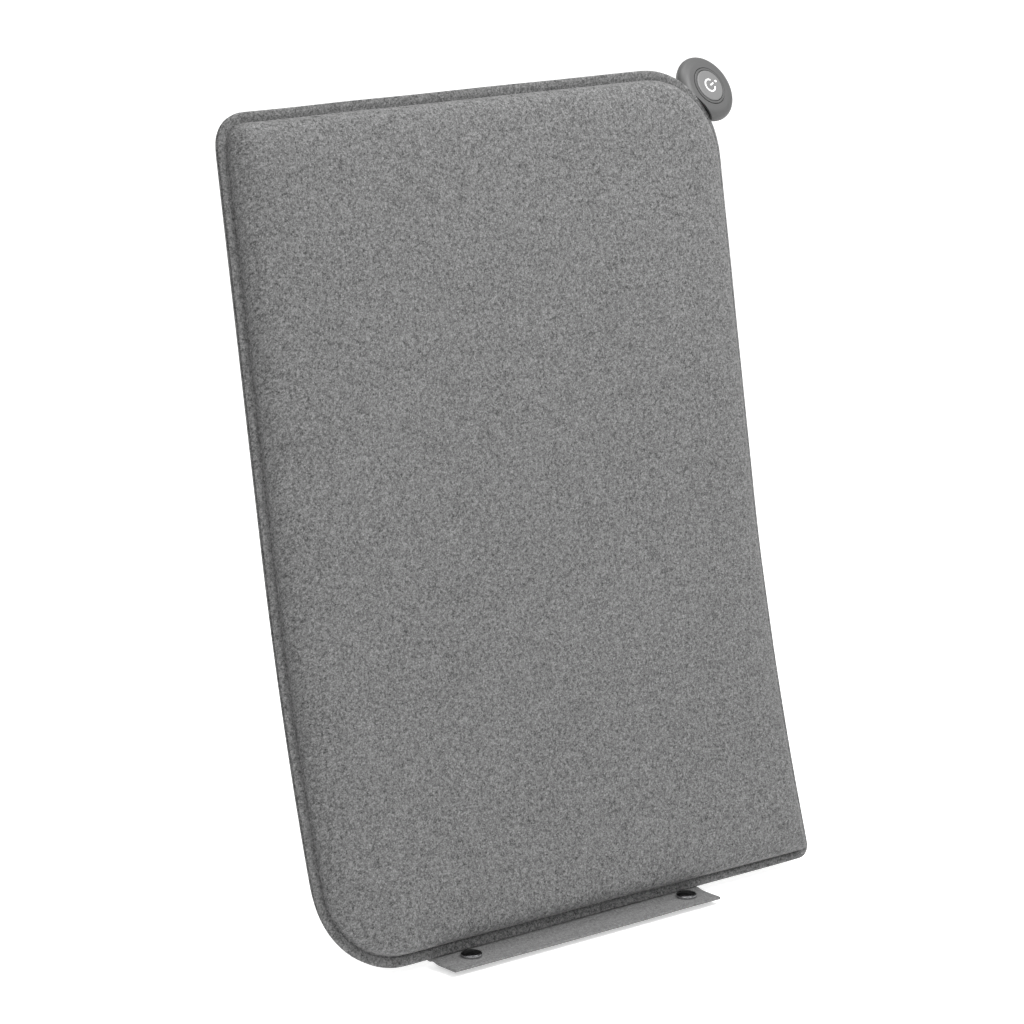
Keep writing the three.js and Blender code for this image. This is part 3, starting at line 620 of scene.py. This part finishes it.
def board_finish(name):
    """Green circuit board with pale tracks under the lacquer."""
    f = Finish(name)
    black, white = (0, 0, 0, 1), (1, 1, 1, 1)
    pattern = {"Color1": black, "Color2": black, "Mortar": white, "Mortar Size": 0.06}
    tracks = f.node(
        "ShaderNodeTexBrick", {"offset": 0.37, "squash": 1.4},
        {"Vector": f.where, "Scale": 330, **pattern}, output="Fac",
    )
    grain = f.noise(900, 2)
    tone_now = f.mix(tracks, (0.012, 0.1, 0.035), (0.035, 0.2, 0.07))
    return f.end(tone_now, 0.35 + grain * 0.15, f.bump(tracks, 0.3, 0.0001))


def lamp_finish(name, tone, glow):
    """Milky light pipe."""
    f = Finish(name)
    haze = f.noise(500, 2)
    tone_now = f.mix(haze, shade(tone, 0.96), tone)
    light = {"Emission Color": (*tone, 1), "Emission Strength": glow}
    return f.end(tone_now, 0.32 + haze * 0.1, f.bump(haze, 0.05, 0.0001), light)


def thread_finish(name, tone):
    """Twisted sewing thread."""
    f = Finish(name)
    twist = f.stretched(1500, 3, (0.5, 0.2, 0.9))
    tone_now = f.mix(twist, shade(tone, 0.6), shade(tone, 1.3))
    return f.end(tone_now, 0.8, f.bump(twist, 0.4, 0.0002), {"Sheen Weight": 0.2})


def floor_finish(name, tone, glow):
    """Smooth painted floor, lit a little from within so that it stays pale."""
    f = Finish(name)
    grain = f.noise(30, 3, 0.5)
    tone_now = f.mix(grain, shade(tone, 0.995), shade(tone, 1.005))
    light = {"Emission Color": (1, 1, 1, 1), "Emission Strength": glow, "Specular IOR Level": 0.1}
    return f.end(tone_now, 0.9, f.bump(grain, 0.02, 0.001), light)


FINISHES = {}


def finish(slot):
    """The finish of a slot, made the first time that it is asked for."""
    tones = chosen().finish
    looks = {
        "felt": (felt_finish, tones.felt, 0.92, 0.66),
        "tab_felt": (felt_finish, tones.tab_felt, 1.2, 0.4),
        "foam": (foam_finish,),
        "film": (film_finish,),
        "foil": (foil_finish,),
        "board": (board_finish,),
        "copper": (metal_finish, (0.72, 0.34, 0.2), 0.28),
        "steel": (metal_finish, (0.5, 0.5, 0.51), 0.3, 0.6),
        "gunmetal": (stud_finish, tones.stud),
        "lead_red": (moulded_finish, (0.4, 0.02, 0.015), 0.4, 0.5),
        "lead_black": (moulded_finish, (0.02, 0.02, 0.02), 0.4, 0.5),
        "lead_white": (moulded_finish, (0.7, 0.7, 0.68), 0.4, 0.5),
        "dark": (moulded_finish, (0.022, 0.022, 0.024), 0.45),
        "housing": (moulded_finish, tones.housing),
        "button": (moulded_finish, tones.button, 0.46, 0.6),
        "icon": (lamp_finish, tones.icon, 0.03),
        # the seam's thread is real, but its tone at 0.42 of the felt's is partly painted shade that darkens the
        # sewn crease
        "thread": (thread_finish, shade(tones.felt, 0.42)),
        "floor": (floor_finish, tones.floor, 0.42),
    }
    if slot not in FINISHES:
        maker, *values = looks[slot]
        FINISHES[slot] = maker(slot, *values)
    return FINISHES[slot]


# ---- the layers


def stuffed(most, x, depth, z, ring):
    """How far the padding pushes each crossing of the cover out, from a cloth simulation."""
    steps, slack = 20, 0.25
    places = np.stack([x, depth, z], -1)
    shape = bmesh.new()
    _, crossings = grid_mesh(shape, places)
    pad = placed("padding", ended("padding", shape))
    sewn = pad.vertex_groups.new(name="sewn")
    held = [v for v, (i, j) in enumerate(crossings) if ring[i, j] <= SEWN_RINGS]
    sewn.add(held, 1.0, "REPLACE")
    cloth = pad.modifiers.new("cloth", "CLOTH").settings
    cloth.vertex_group_mass = "sewn"
    cloth.quality = 5
    cloth.mass = 0.3
    cloth.tension_stiffness = 40
    cloth.compression_stiffness = 40
    cloth.shear_stiffness = 20
    cloth.bending_stiffness = 8
    cloth.use_pressure = True
    cloth.uniform_pressure_force = 0.5
    cloth.effector_weights.gravity = 0
    for step in range(1, steps + 1):
        bpy.context.scene.frame_set(step)
    shown = pad.evaluated_get(bpy.context.evaluated_depsgraph_get())
    moved = np.zeros_like(places)
    for v, (i, j) in zip(shown.data.vertices, crossings):
        moved[i, j] = np.array(v.co) - places[i, j]
    bpy.data.objects.remove(pad)
    bpy.context.scene.frame_set(1)
    moved[..., 1] = np.minimum(moved[..., 1], 0)  # the foam holds the cover up
    moved[..., (0, 2)] *= slack
    far = np.linalg.norm(moved, axis=-1, keepdims=True)
    return moved * most * np.tanh(far / most) / np.maximum(far, 1e-9)


class HEATMAT_OT_front_cover(bpy.types.Operator):
    """Make the padded front cover with its sewn edge"""

    bl_idname = "heatmat.front_cover"
    bl_label = "Front cover"

    def execute(self, context):
        form = MatForm()
        s = form.size
        x, depth, z, ring = form.grid(COVER_PROFILE, s.columns, s.rows)
        push = stuffed(s.plump, x, depth, z, ring)
        x, depth, z = x + push[..., 0], depth + push[..., 1], z + push[..., 2]
        self.taper(s, x, z, ring)
        depth = self.tightened(s, depth, z, ring)
        self.ruffle(s, x, depth, z, ring)
        places = form.place(x, depth, z)
        cover = layer(form, "front_cover", places, "felt", s.felt - 0.1 * MM, smooth=True)
        return {"FINISHED"}

    def taper(self, s, x, z, ring):
        """Makes the bottom hem wider at its left end than at its right one."""
        flat_rings = 3
        low_down = np.clip(1 - (z + s.lower) / s.wide_hem, 0, 1)
        low_down *= np.clip(ring - flat_rings, 0, flat_rings) / flat_rings
        z -= s.hem_taper * low_down * x / (s.width / 2)

    def tightened(self, s, depth, z, ring):
        """Keeps the sewn groove deep along the bottom hem and shallow elsewhere."""
        least, soft = 0.05, 0.3 * MM
        tight = np.clip(1 - (z + s.lower - s.hem_taper) / s.wide_hem, least, 1)
        depth = np.where(depth > soft, soft + (depth - soft) * tight, depth)
        depth[ring == 0] = COVER_PROFILE[0][1] * MM
        return depth

    def ruffle(self, s, x, depth, z, ring):
        """Gives the padded part its soft unevenness, and shifts the whole cover a little."""
        eased_rings, drift = 6, 0.6 * s.ripple
        free = np.clip((ring - SEWN_RINGS) / eased_rings, 0, 1)
        swell = soft_ripple(x, z, 3.1, 0.11) + 0.45 * soft_ripple(x, z, 8.7, 0.04)
        depth -= s.ripple * swell * free
        x += drift * soft_ripple(x, z, 15.3, 0.07)
        z += drift * soft_ripple(x, z, 21.9, 0.07)


class HEATMAT_OT_back_cover(bpy.types.Operator):
    """Make the flat felt back cover"""

    bl_idname = "heatmat.back_cover"
    bl_label = "Back cover"

    def execute(self, context):
        form = MatForm()
        s = form.size
        low = s.felt / MM + 0.3
        dents = [(0, 0.3), (0.6, 0), (4, 0), (5.8, 0), (7.1, -0.25), (8.4, 0), (14, 0), (24, 0)]
        profile = [(inset, low + dent) for inset, dent in dents]
        x, depth, z, ring = form.grid(profile, s.columns // 2, s.rows // 2)
        flat_rings = 5
        wave = soft_ripple(x, z, 33.3, 0.12) * np.minimum(1, ring / flat_rings)
        depth += 0.3 * s.ripple * wave
        places = form.place(x, depth, z)
        cover = layer(form, "back_cover", places, "felt", s.felt, smooth=True)
        here = form.outline(0.0)
        after = np.roll(here, -1, 0)
        area = float(abs((here[:, 0] * after[:, 1] - after[:, 0] * here[:, 1]).sum()) / 2)
        return {"FINISHED"}


class HEATMAT_OT_seam(bpy.types.Operator):
    """Sew the lockstitch seam through both covers"""

    bl_idname = "heatmat.seam"
    bl_label = "Seam"

    def execute(self, context):
        form = MatForm()
        seam = chosen().seam
        path = form.outline(seam.inset, 240)
        path = np.vstack([path, path[:1]])
        run = np.concatenate([[0], np.cumsum(np.linalg.norm(np.diff(path, axis=0), axis=1))])
        count = int(run[-1] / seam.pitch)
        at = (np.arange(count) + 0.5) * run[-1] / count
        ends = [
            np.stack([np.interp(at + d, run, path[:, k], period=run[-1]) for k in (0, 1)], -1)
            for d in (-seam.stitch / 2, seam.stitch / 2)
        ]
        turns = np.arctan2(*(ends[1] - ends[0]).T[::-1])
        one = self.stitch(seam)
        above_front, past_back = 0.3 * MM, 0.25 * MM
        for side, depth in (("front", above_front), ("back", 2 * form.size.felt + past_back)):
            shape = bmesh.new()
            for _ in range(count):
                shape.from_mesh(one)
            for k, vert in enumerate(shape.verts):
                number = k // len(one.vertices)
                middle = (ends[0][number] + ends[1][number]) / 2
                x, y, z = Matrix.Rotation(-turns[number], 3, "Y") @ vert.co
                vert.co = form.place(middle[0] + x, depth + y, middle[1] + z)
            stitches = piece(f"seam_stitches_{side}", shape, "felt", "thread")
            across_fold(form, stitches)
        bpy.data.meshes.remove(one)
        return {"FINISHED"}

    def stitch(self, seam):
        """One short rounded stitch along +X."""
        shape = bmesh.new()
        size = Matrix.Diagonal((seam.stitch, seam.thread * 0.8, seam.thread, 1))
        bmesh.ops.create_uvsphere(shape, u_segments=6, v_segments=5, radius=0.5, matrix=size)
        return ended("stitch", shape)


class HEATMAT_OT_heating_layers(bpy.types.Operator):
    """Make the foam core, the heating film, the reflector and the busbars"""

    bl_idname = "heatmat.heating_layers"
    bl_label = "Heating layers"

    def execute(self, context):
        form = MatForm()
        self.foam(form)
        for name, profile, slot, thickness in (
            ("heating_film", FILM_PROFILE, "film", 0.5 * MM),
            ("heat_reflector", FOIL_PROFILE, "foil", 0.9 * MM),
        ):
            x, depth, z, _ = form.grid(profile, 24, 60)
            layer(form, name, form.place(x, depth, z), slot, thickness)
        for side in ("left", "right"):
            self.busbar(form, side)
        return {"FINISHED"}

    def foam(self, form):
        columns, rows = 44, 58
        x, depth, z, _ = form.grid(FOAM_PROFILE, columns, rows)
        shape = bmesh.new()
        grid_mesh(shape, form.place(x, depth, z))
        back = [(inset, FOAM_PROFILE[0][1]) for inset in FOAM_BACK]
        x, depth, z, _ = form.grid(back, columns, rows)
        rear, _ = grid_mesh(shape, form.place(x, depth, z))
        bmesh.ops.reverse_faces(shape, faces=list({f for v in rear for f in v.link_faces}))
        bmesh.ops.remove_doubles(shape, verts=shape.verts, dist=1e-5)
        core = piece("foam_core", shape, "foam", sharp=60)
        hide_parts("foam_core_upper", "foam_core_lower")
        across_fold(form, core)

    def busbar(self, form, side):
        low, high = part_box(f"busbar_{side}_upper")
        top, bottom, front = 0.225, -0.224, -11.1 * MM
        middle, half = (low.x + high.x) / 2 - form.fold[0], (high.x - low.x) / 2
        across = middle + np.linspace(-half, half, 5)
        x, z = np.meshgrid(across, np.linspace(bottom, top, 91), indexing="ij")
        layer(form, f"busbar_{side}", form.place(x, front, z), "copper", 0.5 * MM)


# ---- the tab


class HEATMAT_OT_tab(bpy.types.Operator):
    """Make the felt tab that is sewn behind the bottom edge"""

    bl_idname = "heatmat.tab"
    bl_label = "Tab"

    def execute(self, context):
        form = MatForm()
        tab = chosen().tab
        low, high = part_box("snap_tab")
        middle = (low.z + high.z) / 2
        section, start = self.section(form, tab, low.y, middle)
        line = np.array([tuple(point) for point in reversed(section)])
        x, y = np.meshgrid(np.linspace(low.x, high.x, 91), line[:, 1], indexing="ij")
        hem = form.place(0, 0, -form.size.lower)[1]
        loose = np.clip((start - y) / (start - low.y), 0, 1)
        lift = 0.5 * MM * loose * soft_ripple(x, y, 4.4, 0.06)
        lift += tab.rise * np.exp(-(((y - hem) / (3.5 * MM)) ** 2))
        shape = bmesh.new()
        grid_mesh(shape, np.stack([x, y, line[:, 2] + lift], -1))
        felt = piece("snap_tab_felt", shape, "tab_felt")
        thicken(felt, tab.felt, 0)
        round_edge = felt.modifiers.new("edge", "BEVEL")
        round_edge.width = 0.4 * MM
        round_edge.segments = 2
        round_edge.limit_method = "ANGLE"
        settled(felt)
        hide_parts("snap_tab", "tab_seam_margin")
        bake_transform(felt)
        around_bend = 3 * MM
        reach = section[0][2] - middle + start - low.y + around_bend
        return {"FINISHED"}

    def section(self, form, tab, tip, middle):
        """Middle line of the tab from its sewn top to its tip, and where its flat part starts."""
        depth = 2 * form.size.felt + 0.6 * MM + tab.felt / 2
        sewn, bend = 10 * MM, 2.2 * MM
        top = form.place(0, depth, sewn - form.size.lower)
        knee = form.place(0, depth, bend - form.size.lower)
        points = [top, top * 0.5 + knee * 0.5, knee]
        turn = Vector((0, knee[1] - 0.4 * MM, middle))
        end = Vector((0, knee[1] - 3.4 * MM, middle))
        for t in (0.25, 0.5, 0.75, 1.0):
            points.append((1 - t) ** 2 * Vector(knee) + 2 * t * (1 - t) * turn + t * t * end)
        start = points[-1][1]
        for t in np.linspace(0, 1, 13)[1:]:
            points.append(Vector((0, start + t * (tip - start), middle)))
        return points, start


class HEATMAT_OT_studs(bpy.types.Operator):
    """Make the caps and sockets of the two press studs"""

    bl_idname = "heatmat.studs"
    bl_label = "Press studs"

    def execute(self, context):
        tab = chosen().tab
        post = tab.cap_post / MM
        upright = Matrix.Rotation(math.pi / 2, 4, "X")
        for side in ("left", "right"):
            low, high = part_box(f"snap_cap_{side}")
            centre = Matrix.Translation(((low.x + high.x) / 2, (low.y + high.y) / 2, 0))
            cap = self.cap(tab, post, low.z / MM, high.z / MM)
            self.stud(f"stud_cap_{side}", cap, centre @ upright, f"snap_cap_{side}", "gunmetal")
            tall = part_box(f"snap_socket_{side}")[1].z / MM
            ring = self.socket(post, tab.socket_radius / MM, tall)
            self.stud(f"stud_socket_{side}", ring, centre @ upright, f"snap_socket_{side}", "steel")
        return {"FINISHED"}

    def cap(self, tab, post, bottom, top):
        """Profile of a low dome with a rounded edge, on a post."""
        radius, edge, sag = tab.cap_radius / MM, tab.cap_edge / MM, 0.3
        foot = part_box("snap_tab")[1].z / MM
        flat = radius - edge
        dome = [(r, top - sag * (r / flat) ** 2) for r in np.linspace(0, flat, 6)]
        shoulder = [
            (radius - edge * (1 - math.sin(a)), top - sag - edge * (1 - math.cos(a)))
            for a in np.linspace(0.2, math.pi / 2, 8)
        ]
        under = [(radius - 0.1, foot + 0.2), (radius - 0.5, foot + 0.08), (post, foot + 0.05)]
        return dome + shoulder + under + [(post, bottom), (0, bottom)]

    def socket(self, post, wide, tall):
        """Profile of a socket: a ring with rounded edges and a step inside."""
        lower = [(post + 0.35, 0.25), (post + 0.6, 0.02), (wide - 0.6, 0.02), (wide - 0.15, 0.2)]
        outer = [(wide, 0.6), (wide, tall - 0.9), (wide - 0.3, tall - 0.3)]
        upper = [(wide - 0.9, tall - 0.05), (post + 1.4, tall - 0.05)]
        return lower + outer + upper + [(post + 1.2, tall - 0.5), (post + 0.35, tall - 0.7)]

    def stud(self, name, profile, where, node, slot):
        shape = turned_piece(profile)
        bmesh.ops.transform(shape, matrix=where, verts=shape.verts)
        stud = piece(name, shape, slot, sharp=40)
        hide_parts(node)
        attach(stud, "tab")


# ---- the controller


def controller_frame():
    """+Y out of the controller's face, -Z towards the top of its icon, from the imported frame."""
    out = -Vector(JOINTS["button_press"]["axis"])
    nodes = frame["nodes"]
    button = np.array([v.co for v in nodes["power_button"].data.vertices])
    along = button @ np.array(out)
    rim = button[along < along.min() + 0.1 * MM]
    centre = Vector((rim.min(0) + rim.max(0)) / 2)
    led_low, led_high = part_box("status_led")
    led = (led_low + led_high) / 2 - centre
    top = (led - out * led.dot(out)).normalized()
    centre -= out * (centre.dot(out) - along.max() + chosen().controller.button_top)
    right = top.cross(out)
    turn = Matrix((right, out, -top)).transposed().to_4x4()
    return Matrix.Translation(centre) @ turn


def rim_points(radius, height, run=7.5, steps=12):
    return [
        (radius - run + run * math.cos(a), height * math.sin(a))
        for a in np.linspace(0, math.pi / 2, steps + 1)
    ]


def block(shape, low, high, where=Matrix.Identity(4)):
    size = Matrix.Diagonal((*[h - l for l, h in zip(low, high)], 1))
    centre = Matrix.Translation([(l + h) / 2 for l, h in zip(low, high)])
    bmesh.ops.create_cube(shape, size=1, matrix=where @ centre @ size)


def icon_shape(grow, low, high):
    """The icon's open ring, its bar and its dot."""
    shape = bmesh.new()
    outer, inner = 5.35 * MM + grow, 4.25 * MM - grow
    gap = math.radians(38) - grow / outer
    corners = [(outer, low), (outer, high), (inner, high), (inner, low)]
    face = shape.faces.new([shape.verts.new((r, h, 0)) for r, h in corners])
    begin = Matrix.Rotation(math.pi / 2 + gap, 4, "Y")
    bmesh.ops.transform(shape, matrix=begin, verts=shape.verts)
    bmesh.ops.spin(
        shape, geom=[face, *face.edges, *face.verts], cent=(0, 0, 0), axis=(0, 1, 0),
        angle=2 * (math.pi - gap), steps=40, use_merge=False,
    )
    bar, bar_start, bar_end = 0.52 * MM + grow, -0.4 * MM + grow, -4.4 * MM - grow
    block(shape, (-bar, low, bar_end), (bar, high, bar_start))
    dot, dot_place = 0.95 * MM + grow, -8.0 * MM
    lift = Matrix.Translation((0, (low + high) / 2, dot_place))
    bmesh.ops.create_cone(
        shape, cap_ends=True, segments=28, radius1=dot, radius2=dot, depth=high - low,
        matrix=lift @ Matrix.Rotation(math.pi / 2, 4, "X"),
    )
    bmesh.ops.remove_doubles(shape, verts=shape.verts, dist=1e-7)
    outwards(shape)
    return shape


def mat_cutter(form, squeeze):
    """The room that the mat's corner takes out of the housing."""
    ahead, least_height = 0.08, 0.02
    path = form.outline(squeeze, 60)
    path = path[path[:, 1] > least_height]
    shape = bmesh.new()
    verts = [shape.verts.new(p) for p in form.place(path[:, 0], -ahead, path[:, 1])]
    made = bmesh.ops.extrude_face_region(shape, geom=[shape.faces.new(verts)])
    thick = 2 * form.size.felt + 0.6 * MM
    back = Vector(form.behind * (thick + ahead))
    bmesh.ops.translate(shape, vec=back, verts=only(bmesh.types.BMVert, made))
    return cutter(shape)


class HEATMAT_OT_controller(bpy.types.Operator):
    """Make the controller's housing, ring, button and lit icon"""

    bl_idname = "heatmat.controller"
    bl_label = "Controller"

    def execute(self, context):
        self.size = chosen().controller
        self.where = controller_frame()
        self.housing()
        self.button()
        return {"FINISHED"}

    def made(self, name, shape, slot, node):
        bmesh.ops.transform(shape, matrix=self.where, verts=shape.verts)
        obj = piece(name, shape, slot, sharp=35)
        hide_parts(node)
        return obj

    def usb_slot(self):
        """The room that the socket takes out of the housing."""
        wide, tall, outer, inner = 4.8 * MM, 1.95 * MM, -40 * MM, -15.5 * MM
        turn = Matrix.Rotation(math.radians(-20.6), 4, "Y")
        shape = bmesh.new()
        block(shape, (-wide, -tall, outer), (wide, tall, inner), self.where @ turn)
        return cutter(shape)

    def housing(self):
        s = self.size
        radius, wall, gap = s.radius / MM, s.wall / MM, s.gap / MM
        ring_in = s.button / MM + gap
        ring_out = ring_in + s.bezel / MM
        hole = ring_out + gap
        for name, height, sign in (("top", s.face / MM, 1), ("back", s.back / MM, -1)):
            outer = rim_points(radius, height)
            inner = rim_points(radius - wall, height - wall)
            outer[0], inner[0] = (radius, gap / 2 + 0.25), (radius - wall, gap / 2)
            outer.insert(0, (radius - 0.25, gap / 2))
            profile = [*reversed(outer), *inner]
            if name == "top":
                lip = [(hole, height - 0.35), (hole + 0.35, height)]
                profile = [*lip, *profile, (hole, height - wall)]
            else:
                profile = [(0, height), *profile, (0, height - wall)]
            shape = turned_piece([(r, sign * h) for r, h in profile], 112)
            shell = self.made(f"housing_{name}", shape, "housing", f"controller_{name}_shell")
            cut_with(shell, [mat_cutter(MatForm(), s.squeeze), self.usb_slot()])
            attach(shell, "upper_mat")
        foot, top = 4.1, 6.3
        ring = [(ring_in, foot), (ring_in, top - 0.3), (ring_in + 0.25, top)]
        ring += [(ring_out - 0.35, top), (ring_out, top - 0.35), (ring_out, foot)]
        bezel = self.made("button_ring", turned_piece(ring, 96), "housing", "button_bezel")
        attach(bezel, "upper_mat")

    def button(self):
        radius, top = self.size.button / MM, self.size.button_top / MM
        flange, skirt, foot, roof = radius + 1.1, radius - 1.2, 3.2, top - 1.45
        profile = [
            (0, top - 0.12), (radius * 0.6, top - 0.06), (radius - 1.1, top),
            (radius - 0.6, top - 0.06), (radius - 0.2, top - 0.3), (radius, top - 0.8),
            (radius, foot + 0.6), (flange, foot + 0.6), (flange, foot), (skirt, foot),
            (skirt, roof), (0, roof),
        ]
        cap = self.made("button_cap", turned_piece(profile, 96), "button", "power_button")
        room = icon_shape(0.15 * MM, (top - 2) * MM, (top + 1) * MM)
        bmesh.ops.transform(room, matrix=self.where, verts=room.verts)
        cut_with(cap, [cutter(room)])
        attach(cap, "button")
        shape = icon_shape(0, (top - 2.0) * MM, (top + 0.02) * MM)
        wide, low, high = 9.6, top - 2.35, top - 1.75
        plate = turned_piece([(0, low), (wide, low), (wide, high), (0, high)], 64)
        shape.from_mesh(ended("plate", plate))
        lamp = self.made("icon_lamp", shape, "icon", "icon_light_pipe")
        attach(lamp, "button")


class HEATMAT_OT_inner_parts(bpy.types.Operator):
    """Give the leads, the board and the other small parts their finishes"""

    bl_idname = "heatmat.inner_parts"
    bl_label = "Inner parts"

    def execute(self, context):
        slots = {
            "lead_red": ["lead_positive"],
            "lead_black": ["lead_negative", "lead_return"],
            "lead_white": ["lead_sensor", "switch_plunger"],
            "dark": ["temperature_sensor", "tact_switch_body"],
            "steel": ["thermal_cutoff", "usb_socket", *(f"controller_screw_{n}" for n in "123")],
            "board": ["circuit_board"],
            "icon": ["status_led"],
        }
        for slot, names in slots.items():
            for node in (frame["nodes"][name] for name in names):
                for held in node.material_slots:
                    held.material = finish(slot)
        return {"FINISHED"}


# ---- the stage


class HEATMAT_OT_stage(bpy.types.Operator):
    """Lay the floor and set the lights and the camera"""

    bl_idname = "heatmat.stage"
    bl_label = "Stage"

    def execute(self, context):
        s = chosen().stage
        self.floor()
        scene = bpy.context.scene
        scene.view_settings.view_transform = "Standard"
        world = bpy.data.worlds.new("surroundings")
        world.use_nodes = True
        sky = world.node_tree.nodes["Background"]
        sky.inputs["Color"].default_value = (1, 1, 1, 1)
        sky.inputs["Strength"].default_value = s.fill
        scene.world = world
        form = MatForm()
        aim = Vector(form.place(0, 0, 0.05))
        for name, place, size, share in (
            ("key_light", (0.45, -0.62, 0.95), 0.55, 1),
            ("side_light", (-1.2, -0.8, 0.5), 1.2, 0.45),
            ("top_light", (0.1, 0.1, 1.6), 1.0, 1.3),
        ):
            self.lamp(name, aim + Vector(place), aim, size, s.key * share)
        self.camera(s, Vector(form.place(0, 0, -form.size.lower)))
        return {"FINISHED"}

    def floor(self):
        """A flat floor that curves up into a wall behind the mat."""
        half, bend, wall, below, steps = 6, 2, 6, 0.4 * MM, 8
        shape = bmesh.new()
        bmesh.ops.create_grid(shape, x_segments=2, y_segments=2, size=half)
        far = [e for e in shape.edges if all(v.co.y > half - 0.1 for v in e.verts)]
        for step in range(1, steps + 1):
            turn = step / steps * math.pi / 2
            far = only(bmesh.types.BMEdge, bmesh.ops.extrude_edge_only(shape, edges=far))
            y, z = half + bend * math.sin(turn), bend * (1 - math.cos(turn))
            for vert in {v for e in far for v in e.verts}:
                vert.co.y, vert.co.z = y, z
        top = only(bmesh.types.BMVert, bmesh.ops.extrude_edge_only(shape, edges=far))
        bmesh.ops.translate(shape, vec=(0, 0, wall), verts=top)
        bmesh.ops.translate(shape, vec=(0, 0, -below), verts=shape.verts)
        outwards(shape)
        piece("floor", shape, None, "floor")

    def lamp(self, name, place, aim, size, power):
        light = bpy.data.lights.new(name, "AREA")
        light.shape = "DISK"
        light.size = size
        light.energy = power
        obj = placed(name, light)
        obj.location = place
        obj.rotation_euler = (aim - place).to_track_quat("-Z", "Y").to_euler()

    def camera(self, s, edge):
        a, e, r = s.azimuth, s.elevation, s.roll
        back = Vector((math.sin(a) * math.cos(e), -math.cos(a) * math.cos(e), math.sin(e)))
        level = Vector((math.cos(a), math.sin(a), 0))
        rise = back.cross(level)
        right = level * math.cos(r) + rise * math.sin(r)
        up = rise * math.cos(r) - level * math.sin(r)
        data = bpy.data.cameras.new("camera")
        data.lens = s.lens
        data.clip_end = 50
        obj = placed("camera", data)
        turn = Matrix((right, up, back)).transposed().to_4x4()
        obj.matrix_world = Matrix.Translation(edge + Vector(s.offset)) @ turn
        bpy.context.scene.camera = obj


class HEATMAT_PT_sidebar(bpy.types.Panel):
    """The mat's pieces, one button each"""

    bl_idname = "HEATMAT_PT_sidebar"
    bl_label = "Heating mat"
    bl_space_type = "VIEW_3D"
    bl_region_type = "UI"
    bl_category = "Heating mat"

    def draw(self, context):
        for operator in OPERATORS:
            self.layout.operator(operator.bl_idname)


OPERATORS = [
    HEATMAT_OT_stage, HEATMAT_OT_front_cover, HEATMAT_OT_back_cover, HEATMAT_OT_seam,
    HEATMAT_OT_heating_layers, HEATMAT_OT_tab, HEATMAT_OT_studs, HEATMAT_OT_controller,
    HEATMAT_OT_inner_parts,
]
CLASSES = [
    HEATMAT_PG_mat, HEATMAT_PG_seam, HEATMAT_PG_tab, HEATMAT_PG_controller, HEATMAT_PG_finish,
    HEATMAT_PG_stage, HEATMAT_PG_all, *OPERATORS, HEATMAT_PT_sidebar,
]


def register():
    for made in CLASSES:
        bpy.utils.register_class(made)
    bpy.types.Scene.heating_mat = PointerProperty(type=HEATMAT_PG_all)


def unregister():
    del bpy.types.Scene.heating_mat
    for made in reversed(CLASSES):
        bpy.utils.unregister_class(made)


def main():
    register()
    for operator in OPERATORS:
        group, name = operator.bl_idname.split(".")
        getattr(getattr(bpy.ops, group), name)()


if __name__ == "__main__":
    main()
